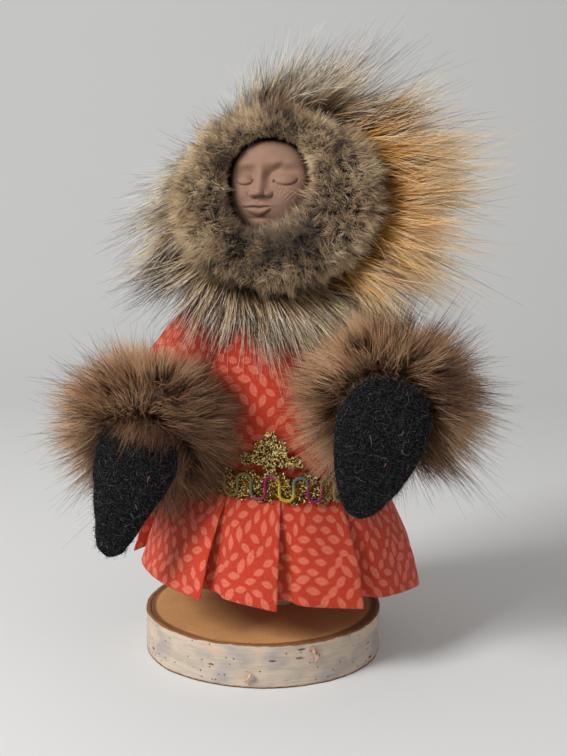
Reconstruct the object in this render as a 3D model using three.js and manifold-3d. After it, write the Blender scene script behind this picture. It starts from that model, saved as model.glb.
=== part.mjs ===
// A small hooded parka doll standing on a slice of birch.
// Millimetres, +Z up, the doll faces -Y. The origin is the centre of the slice's underside.
// Right and left are the doll's own: its right arm is on the -X side.
import * as THREE from "three";
import { mergeVertices } from "three/addons/utils/BufferGeometryUtils.js";
import Module from "manifold-3d";

const wasm = await Module();
wasm.setup();

// Clearances
const GAP = 0.3;
const RUFF_GAP = 1;
const SWING_GAP = 0.5;
const SHOULDER_GAP = 0.9;
const WRIST_GAP = 1.9;
const MERGE_DISTANCE = 1e-4;

// Birch slice
const SLICE_RADIUS = 31.5;
const SLICE_HEIGHT = 11.3;
const BARK_THICKNESS = 1.6;
const SLICE_WAVES = [
  { height: 0.45, count: 2, shift: 0.7 },
  { height: 0.225, count: 3, shift: 2 },
];
const SLICE_SIDES = 48;

// Support dowel
const DOWEL_DIAMETER = 6.35;
const DOWEL_OFFSET = 4.5;
const DOWEL_SOCKET_DEPTH = 8;
const DOWEL_IN_HEAD = 14;
const DOWEL_SIDES = 20;

// Stuffed body and its bodice
const CLOTH = 0.8;
const WAIST_HEIGHT = 50;
const WAIST_RADIUS = 26.5;
const NECK_HEIGHT = 97;
const NECK_RADIUS = 9;
const BODY_DEPTH_RATIO = 0.9;
const BODY_BELOW_WAIST = 7;
const SHOULDER_SWELL = 2.2;
const SHOULDER_ROUND = 0.7;
const BODY_SIDES = 30;
const BODY_ROWS = 8;

// Pleated skirt
const SKIRT_OVER_WAIST = 1.5;
const SKIRT_DROP = 29;
const HEM_FLARE = 8.5;
const FLARE_CURVE = 0.75;
const PLEAT_OPENING = 1.6;
const PLEAT_COUNT = 12;
const PLEAT_DEPTH = 3.4;
const SKIRT_ROWS = 5;
const WAIST_SLOPE = 0.07;

// Waist braid and front ornament
const BRAID_HEIGHT = 7.5;
const BRAID_THICKNESS = 1.4;
const BRAID_SIDES = 48;
const ORNAMENT_WIDTH = 17.5;
const ORNAMENT_ASIDE = -2.2;
const ORNAMENT_TIERS = [4.2, 3.4, 3.2];
const ORNAMENT_THICKNESS = 1.3;
const ORNAMENT_COLUMNS = 22;
const ORNAMENT_EDGE = 0.98;

// Arms
const WIRE_DIAMETER = 1.6;
const SHOULDER_HEIGHT = 81;
const AXLE_ENTRY = 3.5;
const ARM_WIRE_START = 0.4;
const ARM_ROOT = 8;
const ARM_ROOT_RISE = 2;
const ARM_BEND = 6;
const ARM_LENGTH = 32.4;
const ARM_SHOULDER_RADIUS = 8.5;
const ARM_WRIST_RADIUS = 6.5;
const ARM_SIDES = 12;
const ARM_ROWS = 6;
const WIRE_SIDES = 8;

// Fur cuffs
const CUFF_RADIUS = 20.5;
const CUFF_WIDTH = 17;
const CUFF_DROOP = 2;
const CUFF_LEAN = 1;
const CUFF_SETBACK = 4;
const CUFF_SIDES = 28;
const CUFF_RING_POINTS = 10;

// Felt mittens
const MITTEN_LENGTH = 34.5;
const MITTEN_THICKNESS = 7;
const MITTEN_TIP_WIDTH = 5;
const MITTEN_OVER_WRIST = 8.5;
const MITTEN_TOP_CUT = 0.015;
const MITTEN_ROWS = 9;
const MITTEN_POINTS = 8;
const MITTEN_WIRE_LENGTH = 17;
const WRIST_REACH = 9.4;
const WRIST_ROOM = 2.1;

// Head, face and hood
const HEAD_TURN = -10;
const HEAD_HEIGHT = 120;
const HOOD_RADIUS = 18;
const HOOD_CROWN = 19;
const HOOD_NECK_RADIUS = 9.5;
const HOOD_FRONT = 9;
const HOOD_OPENING_BOTTOM = 104;
const HOOD_SIDES = 28;
const HOOD_ROWS = 9;
const FACE_SEAT = 11;
const FACE_HEIGHT = 123.5;
const FACE_ASIDE = 0.5;
const FACE_HALF_WIDTH = 9.8;
const FACE_HALF_HEIGHT = 11.5;
const FACE_DEPTH = 7.6;
const FACE_ROUNDNESS = 0.75;
const FACE_RIM = 1.2;
const FACE_RELIEF_ROOM = 1.5;
const FACE_SIDES = 28;
const FACE_ROWS = 11;

// What rises from the face or sinks into it: how far, where, and half its width and height.
// The features sit toward the doll's right, as the face was pressed on a little askew.
const FACE_RELIEF = [
  { part: "right brow", lift: 0.6, x: -5.4, z: 4.7, width: 2.6, height: 1.1 },
  { part: "left brow", lift: 0.6, x: 4, z: 5, width: 4, height: 1.2 },
  { part: "right eye socket", lift: -0.8, x: -5, z: 2.6, width: 2.4, height: 1.8 },
  { part: "left eye socket", lift: -0.9, x: 3.6, z: 2.8, width: 3.2, height: 1.8 },
  { part: "right eyelid", lift: 0.8, x: -5.8, z: 1.1, width: 1.6, height: 1.1 },
  { part: "left eyelid", lift: 0.8, x: 4.3, z: 1.2, width: 2, height: 1.2 },
  { part: "bridge of the nose", lift: 0.8, x: -1.8, z: 1.6, width: 1.1, height: 2.2 },
  { part: "tip of the nose", lift: 2.2, x: -2, z: -1.7, width: 1.5, height: 1.6 },
  { part: "right nostril", lift: 0.7, x: -3.8, z: -2.5, width: 0.8, height: 0.8 },
  { part: "left nostril", lift: 0.8, x: 0.2, z: -2.4, width: 1, height: 0.9 },
  { part: "right cheek", lift: 0.5, x: -6.6, z: -2.4, width: 2, height: 2.6 },
  { part: "left cheek", lift: 0.6, x: 4.8, z: -2.6, width: 3, height: 2.8 },
  { part: "mouth", lift: 0.5, x: -2.4, z: -5.9, width: 4.4, height: 2.4 },
  { part: "upper lip", lift: 0.5, x: -2.7, z: -5.1, width: 2.6, height: 0.5 },
  { part: "lower lip", lift: 0.7, x: -2.3, z: -6.6, width: 2.2, height: 0.7 },
  { part: "chin", lift: 0.5, x: -2.2, z: -9.7, width: 2.2, height: 1.2 },
];

// Fur ruffs: where each opening and outline is centred, and half its width and height.
// A pinch draws the outline in toward one angle, over a narrower stretch when its focus is greater.
const RUFF_TILT = 14;
const RUFF_SIDES = 40;
const RUFF_POINTS = 10;
const INNER_RUFF = {
  hole: { x: 1, z: 123, width: 8.8, height: 9.6 },
  rim: { x: 2.5, z: 119.4, width: 25.5, height: 22.2, pinches: [] },
  rootY: -19.5,
  rimY: -19.5,
  thickness: 13,
};
const OUTER_RUFF = {
  hole: { x: 0, z: HEAD_HEIGHT, width: HOOD_RADIUS + GAP, height: HOOD_CROWN + GAP },
  rim: {
    x: 7.6,
    z: 117.4,
    width: 42,
    height: 34,
    pinches: [
      { toward: -50, depth: 0.19, focus: 2 },
      { toward: 138, depth: 0.17, focus: 4 },
    ],
  },
  rootY: -6,
  rimY: -13,
  thickness: 10.5,
};

// How each arm is bent, in degrees: swing is forward of hanging, spread is outward.
// Rise and aside shift the mitten from the wrist, and skew leans its tip to the doll's right.
// Width is the mitten's, and a greater fullness keeps it wide for longer toward its tip.
const ARMS = {
  right: {
    side: -1,
    swing: 52,
    spread: 20,
    hand: { swing: 4, spread: 17 },
    rise: 3,
    aside: 0,
    skew: 0,
    width: 20,
    fullness: 1.3,
    down: -6,
  },
  left: {
    side: 1,
    swing: 72,
    spread: 7,
    hand: { swing: -3, spread: -8 },
    rise: 3,
    aside: 0,
    skew: 2.5,
    width: 22,
    fullness: 1.9,
    down: -10,
  },
};

// Finishes
const FINISHES = {
  wood: { color: 0xc99a6b, roughness: 0.9, metalness: 0 },
  bark: { color: 0xd9d0c4, roughness: 0.9, metalness: 0 },
  dowel: { color: 0xd8b98a, roughness: 0.9, metalness: 0 },
  padding: { color: 0xeeeae0, roughness: 0.9, metalness: 0 },
  cotton: { color: 0xd8482f, roughness: 0.9, metalness: 0 },
  gold: { color: 0xc9a24a, roughness: 0.35, metalness: 0.8 },
  wire: { color: 0x9a9a98, roughness: 0.4, metalness: 1 },
  felt: { color: 0x23222a, roughness: 1, metalness: 0 },
  clay: { color: 0x9b6f60, roughness: 0.8, metalness: 0 },
  mink: { color: 0x5a4334, roughness: 1, metalness: 0 },
  plush: { color: 0x8d8277, roughness: 1, metalness: 0 },
  guard: { color: 0xb9a184, roughness: 1, metalness: 0 },
};

// Derived sizes
const DOWEL_RADIUS = DOWEL_DIAMETER / 2;
const WIRE_RADIUS = WIRE_DIAMETER / 2;
const SLEEVE_ADDS = GAP + CLOTH;
const CUFF_BORE = ARM_WRIST_RADIUS + SLEEVE_ADDS + GAP;
const SHOULDER_OUT = bodyRadius(SHOULDER_HEIGHT);
const BODY_BOTTOM = WAIST_HEIGHT - BODY_BELOW_WAIST;
const HOOD_BOTTOM = NECK_HEIGHT + GAP;
const HEAD_BOTTOM = HOOD_BOTTOM + CLOTH;
const SKIRT_INNER_TOP = WAIST_RADIUS + GAP;
const BRAID_INNER = SKIRT_INNER_TOP + CLOTH + GAP;
const BRAID_OUTER = BRAID_INNER + BRAID_THICKNESS;
const SKIRT_BAND = (SKIRT_OVER_WAIST + BRAID_HEIGHT / 2 + GAP) / SKIRT_DROP;
const FAR = 100;

const radians = THREE.MathUtils.degToRad;
const X_AXIS = new THREE.Vector3(1, 0, 0);
const Y_AXIS = new THREE.Vector3(0, 1, 0);
const Z_AXIS = new THREE.Vector3(0, 0, 1);

// Solids

function signedVolume(geometry) {
  const place = geometry.attributes.position;
  const a = new THREE.Vector3();
  const b = new THREE.Vector3();
  const c = new THREE.Vector3();
  let volume = 0;
  for (let i = 0; i < geometry.index.count; i += 3) {
    a.fromBufferAttribute(place, geometry.index.getX(i));
    b.fromBufferAttribute(place, geometry.index.getX(i + 1));
    c.fromBufferAttribute(place, geometry.index.getX(i + 2));
    volume += a.dot(b.cross(c));
  }
  return volume;
}

// One closed shell with shared corners, its faces turned outward.
function shell(geometry) {
  const bare = new THREE.BufferGeometry();
  bare.setAttribute("position", geometry.attributes.position.clone());
  if (geometry.index) bare.setIndex(geometry.index.clone());
  const merged = mergeVertices(bare, MERGE_DISTANCE);
  if (signedVolume(merged) < 0) {
    merged.setIndex(Array.from(merged.index.array).reverse());
  }
  return merged;
}

function toSolid(geometry) {
  const closed = shell(geometry);
  const mesh = new wasm.Mesh({
    numProp: 3,
    vertProperties: new Float32Array(closed.attributes.position.array),
    triVerts: new Uint32Array(closed.index.array),
  });
  return new wasm.Manifold(mesh);
}

function toGeometry(solid) {
  const mesh = solid.getMesh();
  const geometry = new THREE.BufferGeometry();
  geometry.setAttribute("position", new THREE.BufferAttribute(new Float32Array(mesh.vertProperties), 3));
  geometry.setIndex(new THREE.BufferAttribute(new Uint32Array(mesh.triVerts), 1));
  return geometry;
}

function cut(geometry, cutters) {
  let solid = toSolid(geometry);
  for (const cutter of cutters) {
    solid = solid.subtract(toSolid(cutter));
  }
  return toGeometry(solid);
}

// A surface through sections of equal point counts. A ring joins its last section to its first.
function loft(sections, isRing) {
  const count = sections[0].length;
  const points = sections.flat();
  const index = [];
  const spans = isRing ? sections.length : sections.length - 1;
  for (let i = 0; i < spans; i++) {
    const here = i * count;
    const next = ((i + 1) % sections.length) * count;
    for (let j = 0; j < count; j++) {
      const k = (j + 1) % count;
      index.push(here + j, next + j, next + k, here + j, next + k, here + k);
    }
  }
  if (!isRing) {
    for (const [first, flip] of [[0, false], [(sections.length - 1) * count, true]]) {
      for (let j = 1; j < count - 1; j++) {
        const fan = [first, first + j, first + j + 1];
        index.push(...(flip ? fan.reverse() : fan));
      }
    }
  }
  const geometry = new THREE.BufferGeometry();
  geometry.setFromPoints(points);
  geometry.setIndex(index);
  return shell(geometry);
}

// A body turned around +Z from a profile of (radius, height) points.
function turned(profile, sides) {
  return shell(new THREE.LatheGeometry(profile, sides).rotateX(Math.PI / 2));
}

function cylinderAlong(axis, radius, start, length, sides) {
  const geometry = new THREE.CylinderGeometry(radius, radius, length, sides);
  geometry.applyQuaternion(new THREE.Quaternion().setFromUnitVectors(Y_AXIS, axis));
  const middle = start.clone().addScaledVector(axis, length / 2);
  return shell(geometry.translate(middle.x, middle.y, middle.z));
}

function turnedAbout(geometry, axis, point, degrees) {
  const copy = geometry.clone();
  copy.translate(-point.x, -point.y, -point.z);
  copy.applyQuaternion(new THREE.Quaternion().setFromAxisAngle(axis, radians(degrees)));
  return copy.translate(point.x, point.y, point.z);
}

// Moves each point of a (radius, height) profile along its normal.
function offsetProfile(points, distance) {
  return points.map((point, i) => {
    const before = points[Math.max(i - 1, 0)];
    const after = points[Math.min(i + 1, points.length - 1)];
    const along = after.clone().sub(before).normalize();
    return new THREE.Vector2(point.x + along.y * distance, point.y - along.x * distance);
  });
}

// A tube through a path of points, each with its own radius and the direction it faces.
function tube(stations, radiusOf, sides) {
  const sections = [];
  let normal = Z_AXIS.clone();
  for (const { point, along, share } of stations) {
    normal = normal.clone().addScaledVector(along, -normal.dot(along)).normalize();
    const across = along.clone().cross(normal);
    const radius = radiusOf(share);
    const section = [];
    for (let j = 0; j < sides; j++) {
      const angle = (j / sides) * 2 * Math.PI;
      section.push(
        point
          .clone()
          .addScaledVector(normal, Math.cos(angle) * radius)
          .addScaledVector(across, Math.sin(angle) * radius),
      );
    }
    sections.push(section);
  }
  return loft(sections, false);
}

// The same path carried past both ends, so that a cutter leaves nothing behind.
function overrun(stations, length) {
  const first = stations[0];
  const last = stations[stations.length - 1];
  return [
    { ...first, point: first.point.clone().addScaledVector(first.along, -length) },
    ...stations.slice(1, -1),
    { ...last, point: last.point.clone().addScaledVector(last.along, length) },
  ];
}

const group = new THREE.Group();
const doll = new THREE.Group();
doll.position.x = DOWEL_OFFSET;
const head = new THREE.Group();
head.rotation.z = radians(HEAD_TURN);
doll.add(head);
group.add(doll);

function piece(parent, name, geometry, finish) {
  const mesh = new THREE.Mesh(geometry, new THREE.MeshStandardMaterial(finish));
  mesh.name = name;
  parent.add(mesh);
}

// Birch slice

function sliceOutline(radius) {
  const points = [];
  for (let i = 0; i < SLICE_SIDES; i++) {
    const angle = (i / SLICE_SIDES) * 2 * Math.PI;
    let reach = radius;
    for (const { height, count, shift } of SLICE_WAVES) {
      reach += height * Math.cos(count * angle + shift);
    }
    points.push(new THREE.Vector2(Math.cos(angle) * reach, Math.sin(angle) * reach));
  }
  return points;
}

function buildSlice() {
  const depth = { depth: SLICE_HEIGHT, bevelEnabled: false };
  const barkInner = SLICE_RADIUS - BARK_THICKNESS;
  const wood = new THREE.ExtrudeGeometry(new THREE.Shape(sliceOutline(barkInner - GAP)), depth);
  const socketFloor = new THREE.Vector3(DOWEL_OFFSET, 0, SLICE_HEIGHT - DOWEL_SOCKET_DEPTH - GAP);
  const socket = cylinderAlong(Z_AXIS, DOWEL_RADIUS + GAP, socketFloor, FAR, DOWEL_SIDES);
  piece(group, "birch_slice", cut(wood, [socket]), FINISHES.wood);
  const ring = new THREE.Shape(sliceOutline(SLICE_RADIUS));
  ring.holes.push(new THREE.Path(sliceOutline(barkInner)));
  piece(group, "birch_bark", shell(new THREE.ExtrudeGeometry(ring, depth)), FINISHES.bark);
}

// Dowel and the wire across the shoulders

function axle(grow) {
  const reach = SHOULDER_OUT + AXLE_ENTRY + grow;
  const start = new THREE.Vector3(-reach, 0, SHOULDER_HEIGHT);
  return cylinderAlong(X_AXIS, WIRE_RADIUS + grow, start, 2 * reach, WIRE_SIDES);
}

function buildDowel() {
  const bottom = new THREE.Vector3(0, 0, SLICE_HEIGHT - DOWEL_SOCKET_DEPTH);
  const length = HEAD_BOTTOM + DOWEL_IN_HEAD - bottom.z;
  const dowel = cylinderAlong(Z_AXIS, DOWEL_RADIUS, bottom, length, DOWEL_SIDES);
  piece(doll, "support_dowel", cut(dowel, [axle(GAP)]), FINISHES.dowel);
  piece(doll, "shoulder_wire", axle(0), FINISHES.wire);
}

// Body

function bodyRadius(height) {
  const share = THREE.MathUtils.clamp((height - WAIST_HEIGHT) / (NECK_HEIGHT - WAIST_HEIGHT), 0, 1);
  const swell = (1 - share ** SHOULDER_SWELL) ** SHOULDER_ROUND;
  return NECK_RADIUS + (WAIST_RADIUS - NECK_RADIUS) * swell;
}

function bodyProfile() {
  const points = [new THREE.Vector2(WAIST_RADIUS, BODY_BOTTOM)];
  for (let i = 0; i <= BODY_ROWS; i++) {
    const share = Math.sin((i / BODY_ROWS) * (Math.PI / 2));
    const height = WAIST_HEIGHT + (NECK_HEIGHT - WAIST_HEIGHT) * share;
    points.push(new THREE.Vector2(bodyRadius(height), height));
  }
  return points;
}

// The body filled out to a distance from the bodice's outer face, below the neck.
function bodyFilled(distance, trim) {
  const skin = offsetProfile(bodyProfile(), distance);
  const top = skin[skin.length - 1].y;
  const bottom = skin[0].y + trim;
  const profile = [
    new THREE.Vector2(0, bottom),
    new THREE.Vector2(skin[0].x, bottom),
    ...skin.slice(1),
    new THREE.Vector2(0, top),
  ];
  return turned(profile, BODY_SIDES).scale(1, BODY_DEPTH_RATIO, 1);
}

// The skirt filled out to its pleats' edges, grown by a distance.
function skirtFilled(grow) {
  const sections = [];
  for (let i = 0; i <= SKIRT_ROWS; i++) {
    const section = [];
    for (let j = 0; j < BODY_SIDES; j++) {
      section.push(skirtPoint((j / BODY_SIDES) * 2 * Math.PI, 1, i / SKIRT_ROWS, grow));
    }
    sections.push(section);
  }
  return loft(sections, false);
}

// Everything a moving arm keeps clear of: the bodice, the skirt, and the braid and ornament at its waist.
function dressedBody() {
  const sag = BRAID_OUTER * WAIST_SLOPE;
  const bottom = WAIST_HEIGHT - BRAID_HEIGHT / 2 - sag;
  const top = WAIST_HEIGHT + BRAID_HEIGHT / 2 + ORNAMENT_TIERS[0] + sag;
  const reach = BRAID_OUTER + SWING_GAP;
  const band = cylinderAlong(Z_AXIS, reach, new THREE.Vector3(0, 0, bottom), top - bottom, BODY_SIDES);
  return [bodyFilled(SWING_GAP, 0), band.scale(1, BODY_DEPTH_RATIO, 1), skirtFilled(CLOTH + SWING_GAP)];
}

function buildBody() {
  const bore = cylinderAlong(Z_AXIS, DOWEL_RADIUS + GAP, new THREE.Vector3(), 2 * FAR, DOWEL_SIDES);
  const padding = bodyFilled(-CLOTH - GAP, CLOTH);
  piece(doll, "torso_padding", cut(padding, [bore, axle(GAP)]), FINISHES.padding);
  const outer = bodyProfile();
  const inner = offsetProfile(outer, -CLOTH).reverse();
  const bodice = turned([...outer, ...inner, outer[0].clone()], BODY_SIDES);
  bodice.scale(1, BODY_DEPTH_RATIO, 1);
  piece(doll, "parka_bodice", cut(bodice, [axle(GAP)]), FINISHES.cotton);
}

// Skirt: each pleat rises to its edge on the doll's left and turns back sharply.

const PLEAT_RISE = [[0, 0], [0.3, 0.33], [0.6, 0.68], [0.84, 1], [0.93, 0.5]];

function skirtPoint(turn, rise, drop, outward) {
  const free = Math.max(0, drop - SKIRT_BAND) / (1 - SKIRT_BAND);
  const flare = HEM_FLARE * free ** FLARE_CURVE;
  const pleat = PLEAT_DEPTH * rise * Math.min(1, free * PLEAT_OPENING);
  const reach = SKIRT_INNER_TOP + flare + pleat + outward;
  const x = Math.cos(turn) * reach;
  const y = Math.sin(turn) * reach * BODY_DEPTH_RATIO;
  const top = WAIST_HEIGHT + SKIRT_OVER_WAIST;
  return new THREE.Vector3(x, y, top - SKIRT_DROP * drop - x * WAIST_SLOPE);
}

function buildSkirt() {
  const drops = [0];
  for (let row = 0; row < SKIRT_ROWS; row++) {
    drops.push(THREE.MathUtils.lerp(SKIRT_BAND, 1, row / (SKIRT_ROWS - 1)));
  }
  const sections = [];
  for (let pleat = 0; pleat < PLEAT_COUNT; pleat++) {
    for (const [part, rise] of PLEAT_RISE) {
      const turn = ((pleat + part) / PLEAT_COUNT) * 2 * Math.PI;
      const outside = drops.map((drop) => skirtPoint(turn, rise, drop, CLOTH));
      const inside = drops.map((drop) => skirtPoint(turn, rise, drop, 0));
      sections.push([...outside, ...inside.reverse()]);
    }
  }
  piece(doll, "parka_skirt", loft(sections, true), FINISHES.cotton);
}

// Braid and ornament follow the body's round and the slope of the waist.

function onBody(turn, reach, height) {
  const x = Math.cos(turn) * reach;
  return new THREE.Vector3(x, Math.sin(turn) * reach * BODY_DEPTH_RATIO, height - x * WAIST_SLOPE);
}

function buildBraid() {
  const bottom = WAIST_HEIGHT - BRAID_HEIGHT / 2;
  const top = WAIST_HEIGHT + BRAID_HEIGHT / 2;
  const sections = [];
  for (let i = 0; i < BRAID_SIDES; i++) {
    const turn = (i / BRAID_SIDES) * 2 * Math.PI;
    sections.push([
      onBody(turn, BRAID_INNER, bottom),
      onBody(turn, BRAID_OUTER, bottom),
      onBody(turn, BRAID_OUTER, top),
      onBody(turn, BRAID_INNER, top),
    ]);
  }
  piece(doll, "waist_braid", loft(sections, true), FINISHES.gold);
}

// Three tiers, each about half as wide as the one below it.
function ornamentHeight(share) {
  let height = 0;
  let half = 1;
  for (const tier of ORNAMENT_TIERS) {
    if (Math.abs(share) < half) height += tier;
    half /= 2;
  }
  return height;
}

function buildOrnament() {
  const bottom = WAIST_HEIGHT + BRAID_HEIGHT / 2 + GAP;
  const half = ORNAMENT_WIDTH / 2 / WAIST_RADIUS;
  const aside = ORNAMENT_ASIDE / WAIST_RADIUS;
  const sections = [];
  for (let i = 0; i <= ORNAMENT_COLUMNS; i++) {
    const share = THREE.MathUtils.clamp((2 * i) / ORNAMENT_COLUMNS - 1, -ORNAMENT_EDGE, ORNAMENT_EDGE);
    const turn = -Math.PI / 2 + aside + share * half;
    const top = bottom + ornamentHeight(share);
    const middle = (bottom + top) / 2;
    const heights = [bottom, middle, top];
    const back = heights.map((height) => onBody(turn, bodyRadius(bottom) + GAP, height));
    const front = heights.map((height) => {
      const reach = bodyRadius(bottom) + GAP + ORNAMENT_THICKNESS;
      return onBody(turn, reach, height);
    });
    sections.push([...back, ...front.reverse()]);
  }
  piece(doll, "front_ornament", loft(sections, false), FINISHES.gold);
}

// Arms

function limbDirection(side, swing, spread) {
  const forward = radians(swing);
  const out = radians(spread);
  return new THREE.Vector3(
    side * Math.sin(out),
    -Math.cos(out) * Math.sin(forward),
    -Math.cos(out) * Math.cos(forward),
  );
}

// The arm leaves the body sideways and bends forward to the wrist.
function armLayout(arm) {
  const out = new THREE.Vector3(arm.side, 0, 0);
  const shoulder = new THREE.Vector3(arm.side * SHOULDER_OUT, 0, SHOULDER_HEIGHT);
  const straight = limbDirection(arm.side, arm.swing, arm.spread);
  const wrist = shoulder.clone().addScaledVector(straight, ARM_LENGTH);
  const root = shoulder.clone().addScaledVector(out, -ARM_ROOT).addScaledVector(Z_AXIS, ARM_ROOT_RISE);
  const bend = shoulder.clone().addScaledVector(out, ARM_BEND);
  const curve = new THREE.QuadraticBezierCurve3(root, bend, wrist);
  const stations = [];
  for (let i = 0; i <= ARM_ROWS; i++) {
    const share = i / ARM_ROWS;
    stations.push({ point: curve.getPoint(share), along: curve.getTangent(share), share });
  }
  const along = curve.getTangent(1);
  const hand = limbDirection(arm.side, arm.hand.swing, arm.hand.spread);
  const pivot = wrist
    .clone()
    .addScaledVector(along, WRIST_REACH)
    .add(new THREE.Vector3(arm.side * arm.aside, 0, arm.rise));
  return { shoulder, out, along, wrist, stations, hand, pivot };
}

// Mitten outline: a round top that narrows to a blunt tip, swelling toward its middle.
function mittenShape({ width, fullness }, down) {
  const half = width / 2;
  if (down < half) return Math.sqrt(1 - (1 - down / half) ** 2);
  const share = (down - half) / (MITTEN_LENGTH - half);
  const tip = MITTEN_TIP_WIDTH / width;
  return tip + (1 - tip) * (1 - share ** fullness);
}

function mittenFrame({ hand }) {
  const face = Y_AXIS.clone().negate().addScaledVector(hand, hand.y).normalize();
  return { face, across: hand.clone().cross(face) };
}

// One felt of the mitten, or with both faces the whole mitten grown by a distance.
function mittenFelt(layout, arm, facing, grow) {
  const { face, across } = mittenFrame(layout);
  const sections = [];
  for (let i = 0; i <= MITTEN_ROWS; i++) {
    const share = (1 - Math.cos((i / MITTEN_ROWS) * Math.PI)) / 2;
    const down = MITTEN_LENGTH * THREE.MathUtils.lerp(MITTEN_TOP_CUT, 1, share);
    const shape = mittenShape(arm, down);
    const half = (shape * arm.width) / 2 + grow;
    const swell = (shape * MITTEN_THICKNESS) / 2 + grow;
    const skew = arm.skew * (down / MITTEN_LENGTH) ** 2;
    const end = i === 0 ? -grow : i === MITTEN_ROWS ? grow : 0;
    const centre = layout.pivot
      .clone()
      .addScaledVector(layout.hand, down - MITTEN_OVER_WRIST + end)
      .addScaledVector(across, skew);
    const section = [];
    const points = facing === 0 ? 2 * MITTEN_POINTS : MITTEN_POINTS;
    const last = facing === 0 ? points - 1 : points;
    for (let j = 0; j <= last; j++) {
      const angle = (j / MITTEN_POINTS) * Math.PI;
      const thick = Math.sin(angle) * swell;
      const lift = facing === 0 ? thick : facing * (thick + GAP / 2);
      section.push(
        centre
          .clone()
          .addScaledVector(across, Math.cos(angle) * half)
          .addScaledVector(face, lift),
      );
    }
    sections.push(section);
  }
  return loft(sections, false);
}

// A ring of fur around the wrist whose outer pile hangs down and away from the body.
function cuffRing(wrist, along, side) {
  const profile = [];
  const middleRadius = (CUFF_BORE + CUFF_RADIUS) / 2;
  for (let i = 0; i <= CUFF_RING_POINTS; i++) {
    const angle = (i / CUFF_RING_POINTS) * 2 * Math.PI;
    const reach = middleRadius + (Math.cos(angle) * (CUFF_RADIUS - CUFF_BORE)) / 2;
    profile.push(new THREE.Vector2(reach, (Math.sin(angle) * CUFF_WIDTH) / 2));
  }
  profile[CUFF_RING_POINTS].copy(profile[0]);
  const ring = shell(new THREE.LatheGeometry(profile, CUFF_SIDES));
  const turn = new THREE.Quaternion().setFromUnitVectors(Y_AXIS, along);
  const hang = new THREE.Vector3(side * CUFF_LEAN, 0, -CUFF_DROOP);
  const seat = wrist.clone().addScaledVector(along, -CUFF_SETBACK);
  const place = ring.attributes.position;
  const point = new THREE.Vector3();
  for (let i = 0; i < place.count; i++) {
    point.fromBufferAttribute(place, i);
    const share = (Math.hypot(point.x, point.z) - CUFF_BORE) / (CUFF_RADIUS - CUFF_BORE);
    point.applyQuaternion(turn).add(seat).addScaledVector(hang, share);
    place.setXYZ(i, point.x, point.y, point.z);
  }
  return ring;
}

function buildArm(name, arm) {
  const layout = armLayout(arm);
  const { shoulder, out, along, wrist, stations, hand, pivot } = layout;
  const armRadius = (share) => THREE.MathUtils.lerp(ARM_SHOULDER_RADIUS, ARM_WRIST_RADIUS, share);

  const bodyRoom = bodyFilled(SHOULDER_GAP, 0);
  const body = [arm.down, 0].map((swing) => turnedAbout(bodyRoom, X_AXIS, shoulder, swing));
  const wireEnd = pivot.clone().addScaledVector(along, -WRIST_ROOM);
  const wireBend = wrist.clone().addScaledVector(along, WRIST_ROOM);
  const toHand = wireEnd.clone().sub(wireBend).normalize();
  const axleRoom = AXLE_ENTRY + WIRE_DIAMETER;
  const afterAxle = stations.filter(({ point }) => point.distanceTo(shoulder) > axleRoom);
  const outside = afterAxle.filter(({ share }) => share > ARM_WIRE_START);
  const wireStations = [
    ...outside,
    { point: wireBend, along: along.clone().add(toHand).normalize() },
    { point: wireEnd, along: toHand },
  ];
  const wire = tube(wireStations, () => WIRE_RADIUS, WIRE_SIDES);
  piece(doll, `${name}_arm_wire`, wire, FINISHES.wire);

  const bore = tube(overrun(wireStations, GAP), () => WIRE_RADIUS + GAP, WIRE_SIDES);
  const padding = tube(stations, armRadius, ARM_SIDES);
  piece(doll, `${name}_arm_padding`, cut(padding, [bore, axle(GAP), ...body]), FINISHES.padding);

  const inside = tube(overrun(stations, 1), (share) => armRadius(share) + GAP, ARM_SIDES);
  const sleeve = tube(stations, (share) => armRadius(share) + SLEEVE_ADDS, ARM_SIDES);
  piece(doll, `${name}_sleeve`, cut(sleeve, [inside, ...body]), FINISHES.cotton);

  const ring = cuffRing(wrist, along, arm.side);
  const sleeveReach = (share) => armRadius(share) + SLEEVE_ADDS + GAP;
  const sleeveRoom = tube(overrun(stations, CUFF_WIDTH), sleeveReach, ARM_SIDES);
  const lowered = dressedBody().map((solid) => turnedAbout(solid, X_AXIS, shoulder, arm.down));
  const keepOut = [sleeveRoom, mittenFelt(layout, arm, 0, WRIST_GAP), ...lowered];
  piece(doll, `${name}_cuff`, cut(ring, keepOut), FINISHES.mink);

  const handStart = pivot.clone().addScaledVector(hand, WRIST_ROOM);
  const handWire = cylinderAlong(hand, WIRE_RADIUS, handStart, MITTEN_WIRE_LENGTH, WIRE_SIDES);
  piece(doll, `${name}_mitten_wire`, handWire, FINISHES.wire);
  const wireRoom = handStart.clone().addScaledVector(hand, -GAP);
  const grooveLength = MITTEN_WIRE_LENGTH + 2 * GAP;
  const groove = cylinderAlong(hand, WIRE_RADIUS + GAP, wireRoom, grooveLength, WIRE_SIDES);
  const roomStart = pivot.clone().addScaledVector(toHand, WRIST_ROOM);
  const away = toHand.clone().negate();
  const roomLength = WRIST_ROOM + WRIST_REACH;
  const room = cylinderAlong(away, WIRE_RADIUS + WRIST_ROOM, roomStart, roomLength, WIRE_SIDES);
  for (const [felt, facing] of [["palm", -1], ["back", 1]]) {
    const half = cut(mittenFelt(layout, arm, facing, 0), [groove, room]);
    piece(doll, `${name}_mitten_${felt}`, half, FINISHES.felt);
  }
}

// Head, in its own frame facing -Y before it is turned

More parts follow.
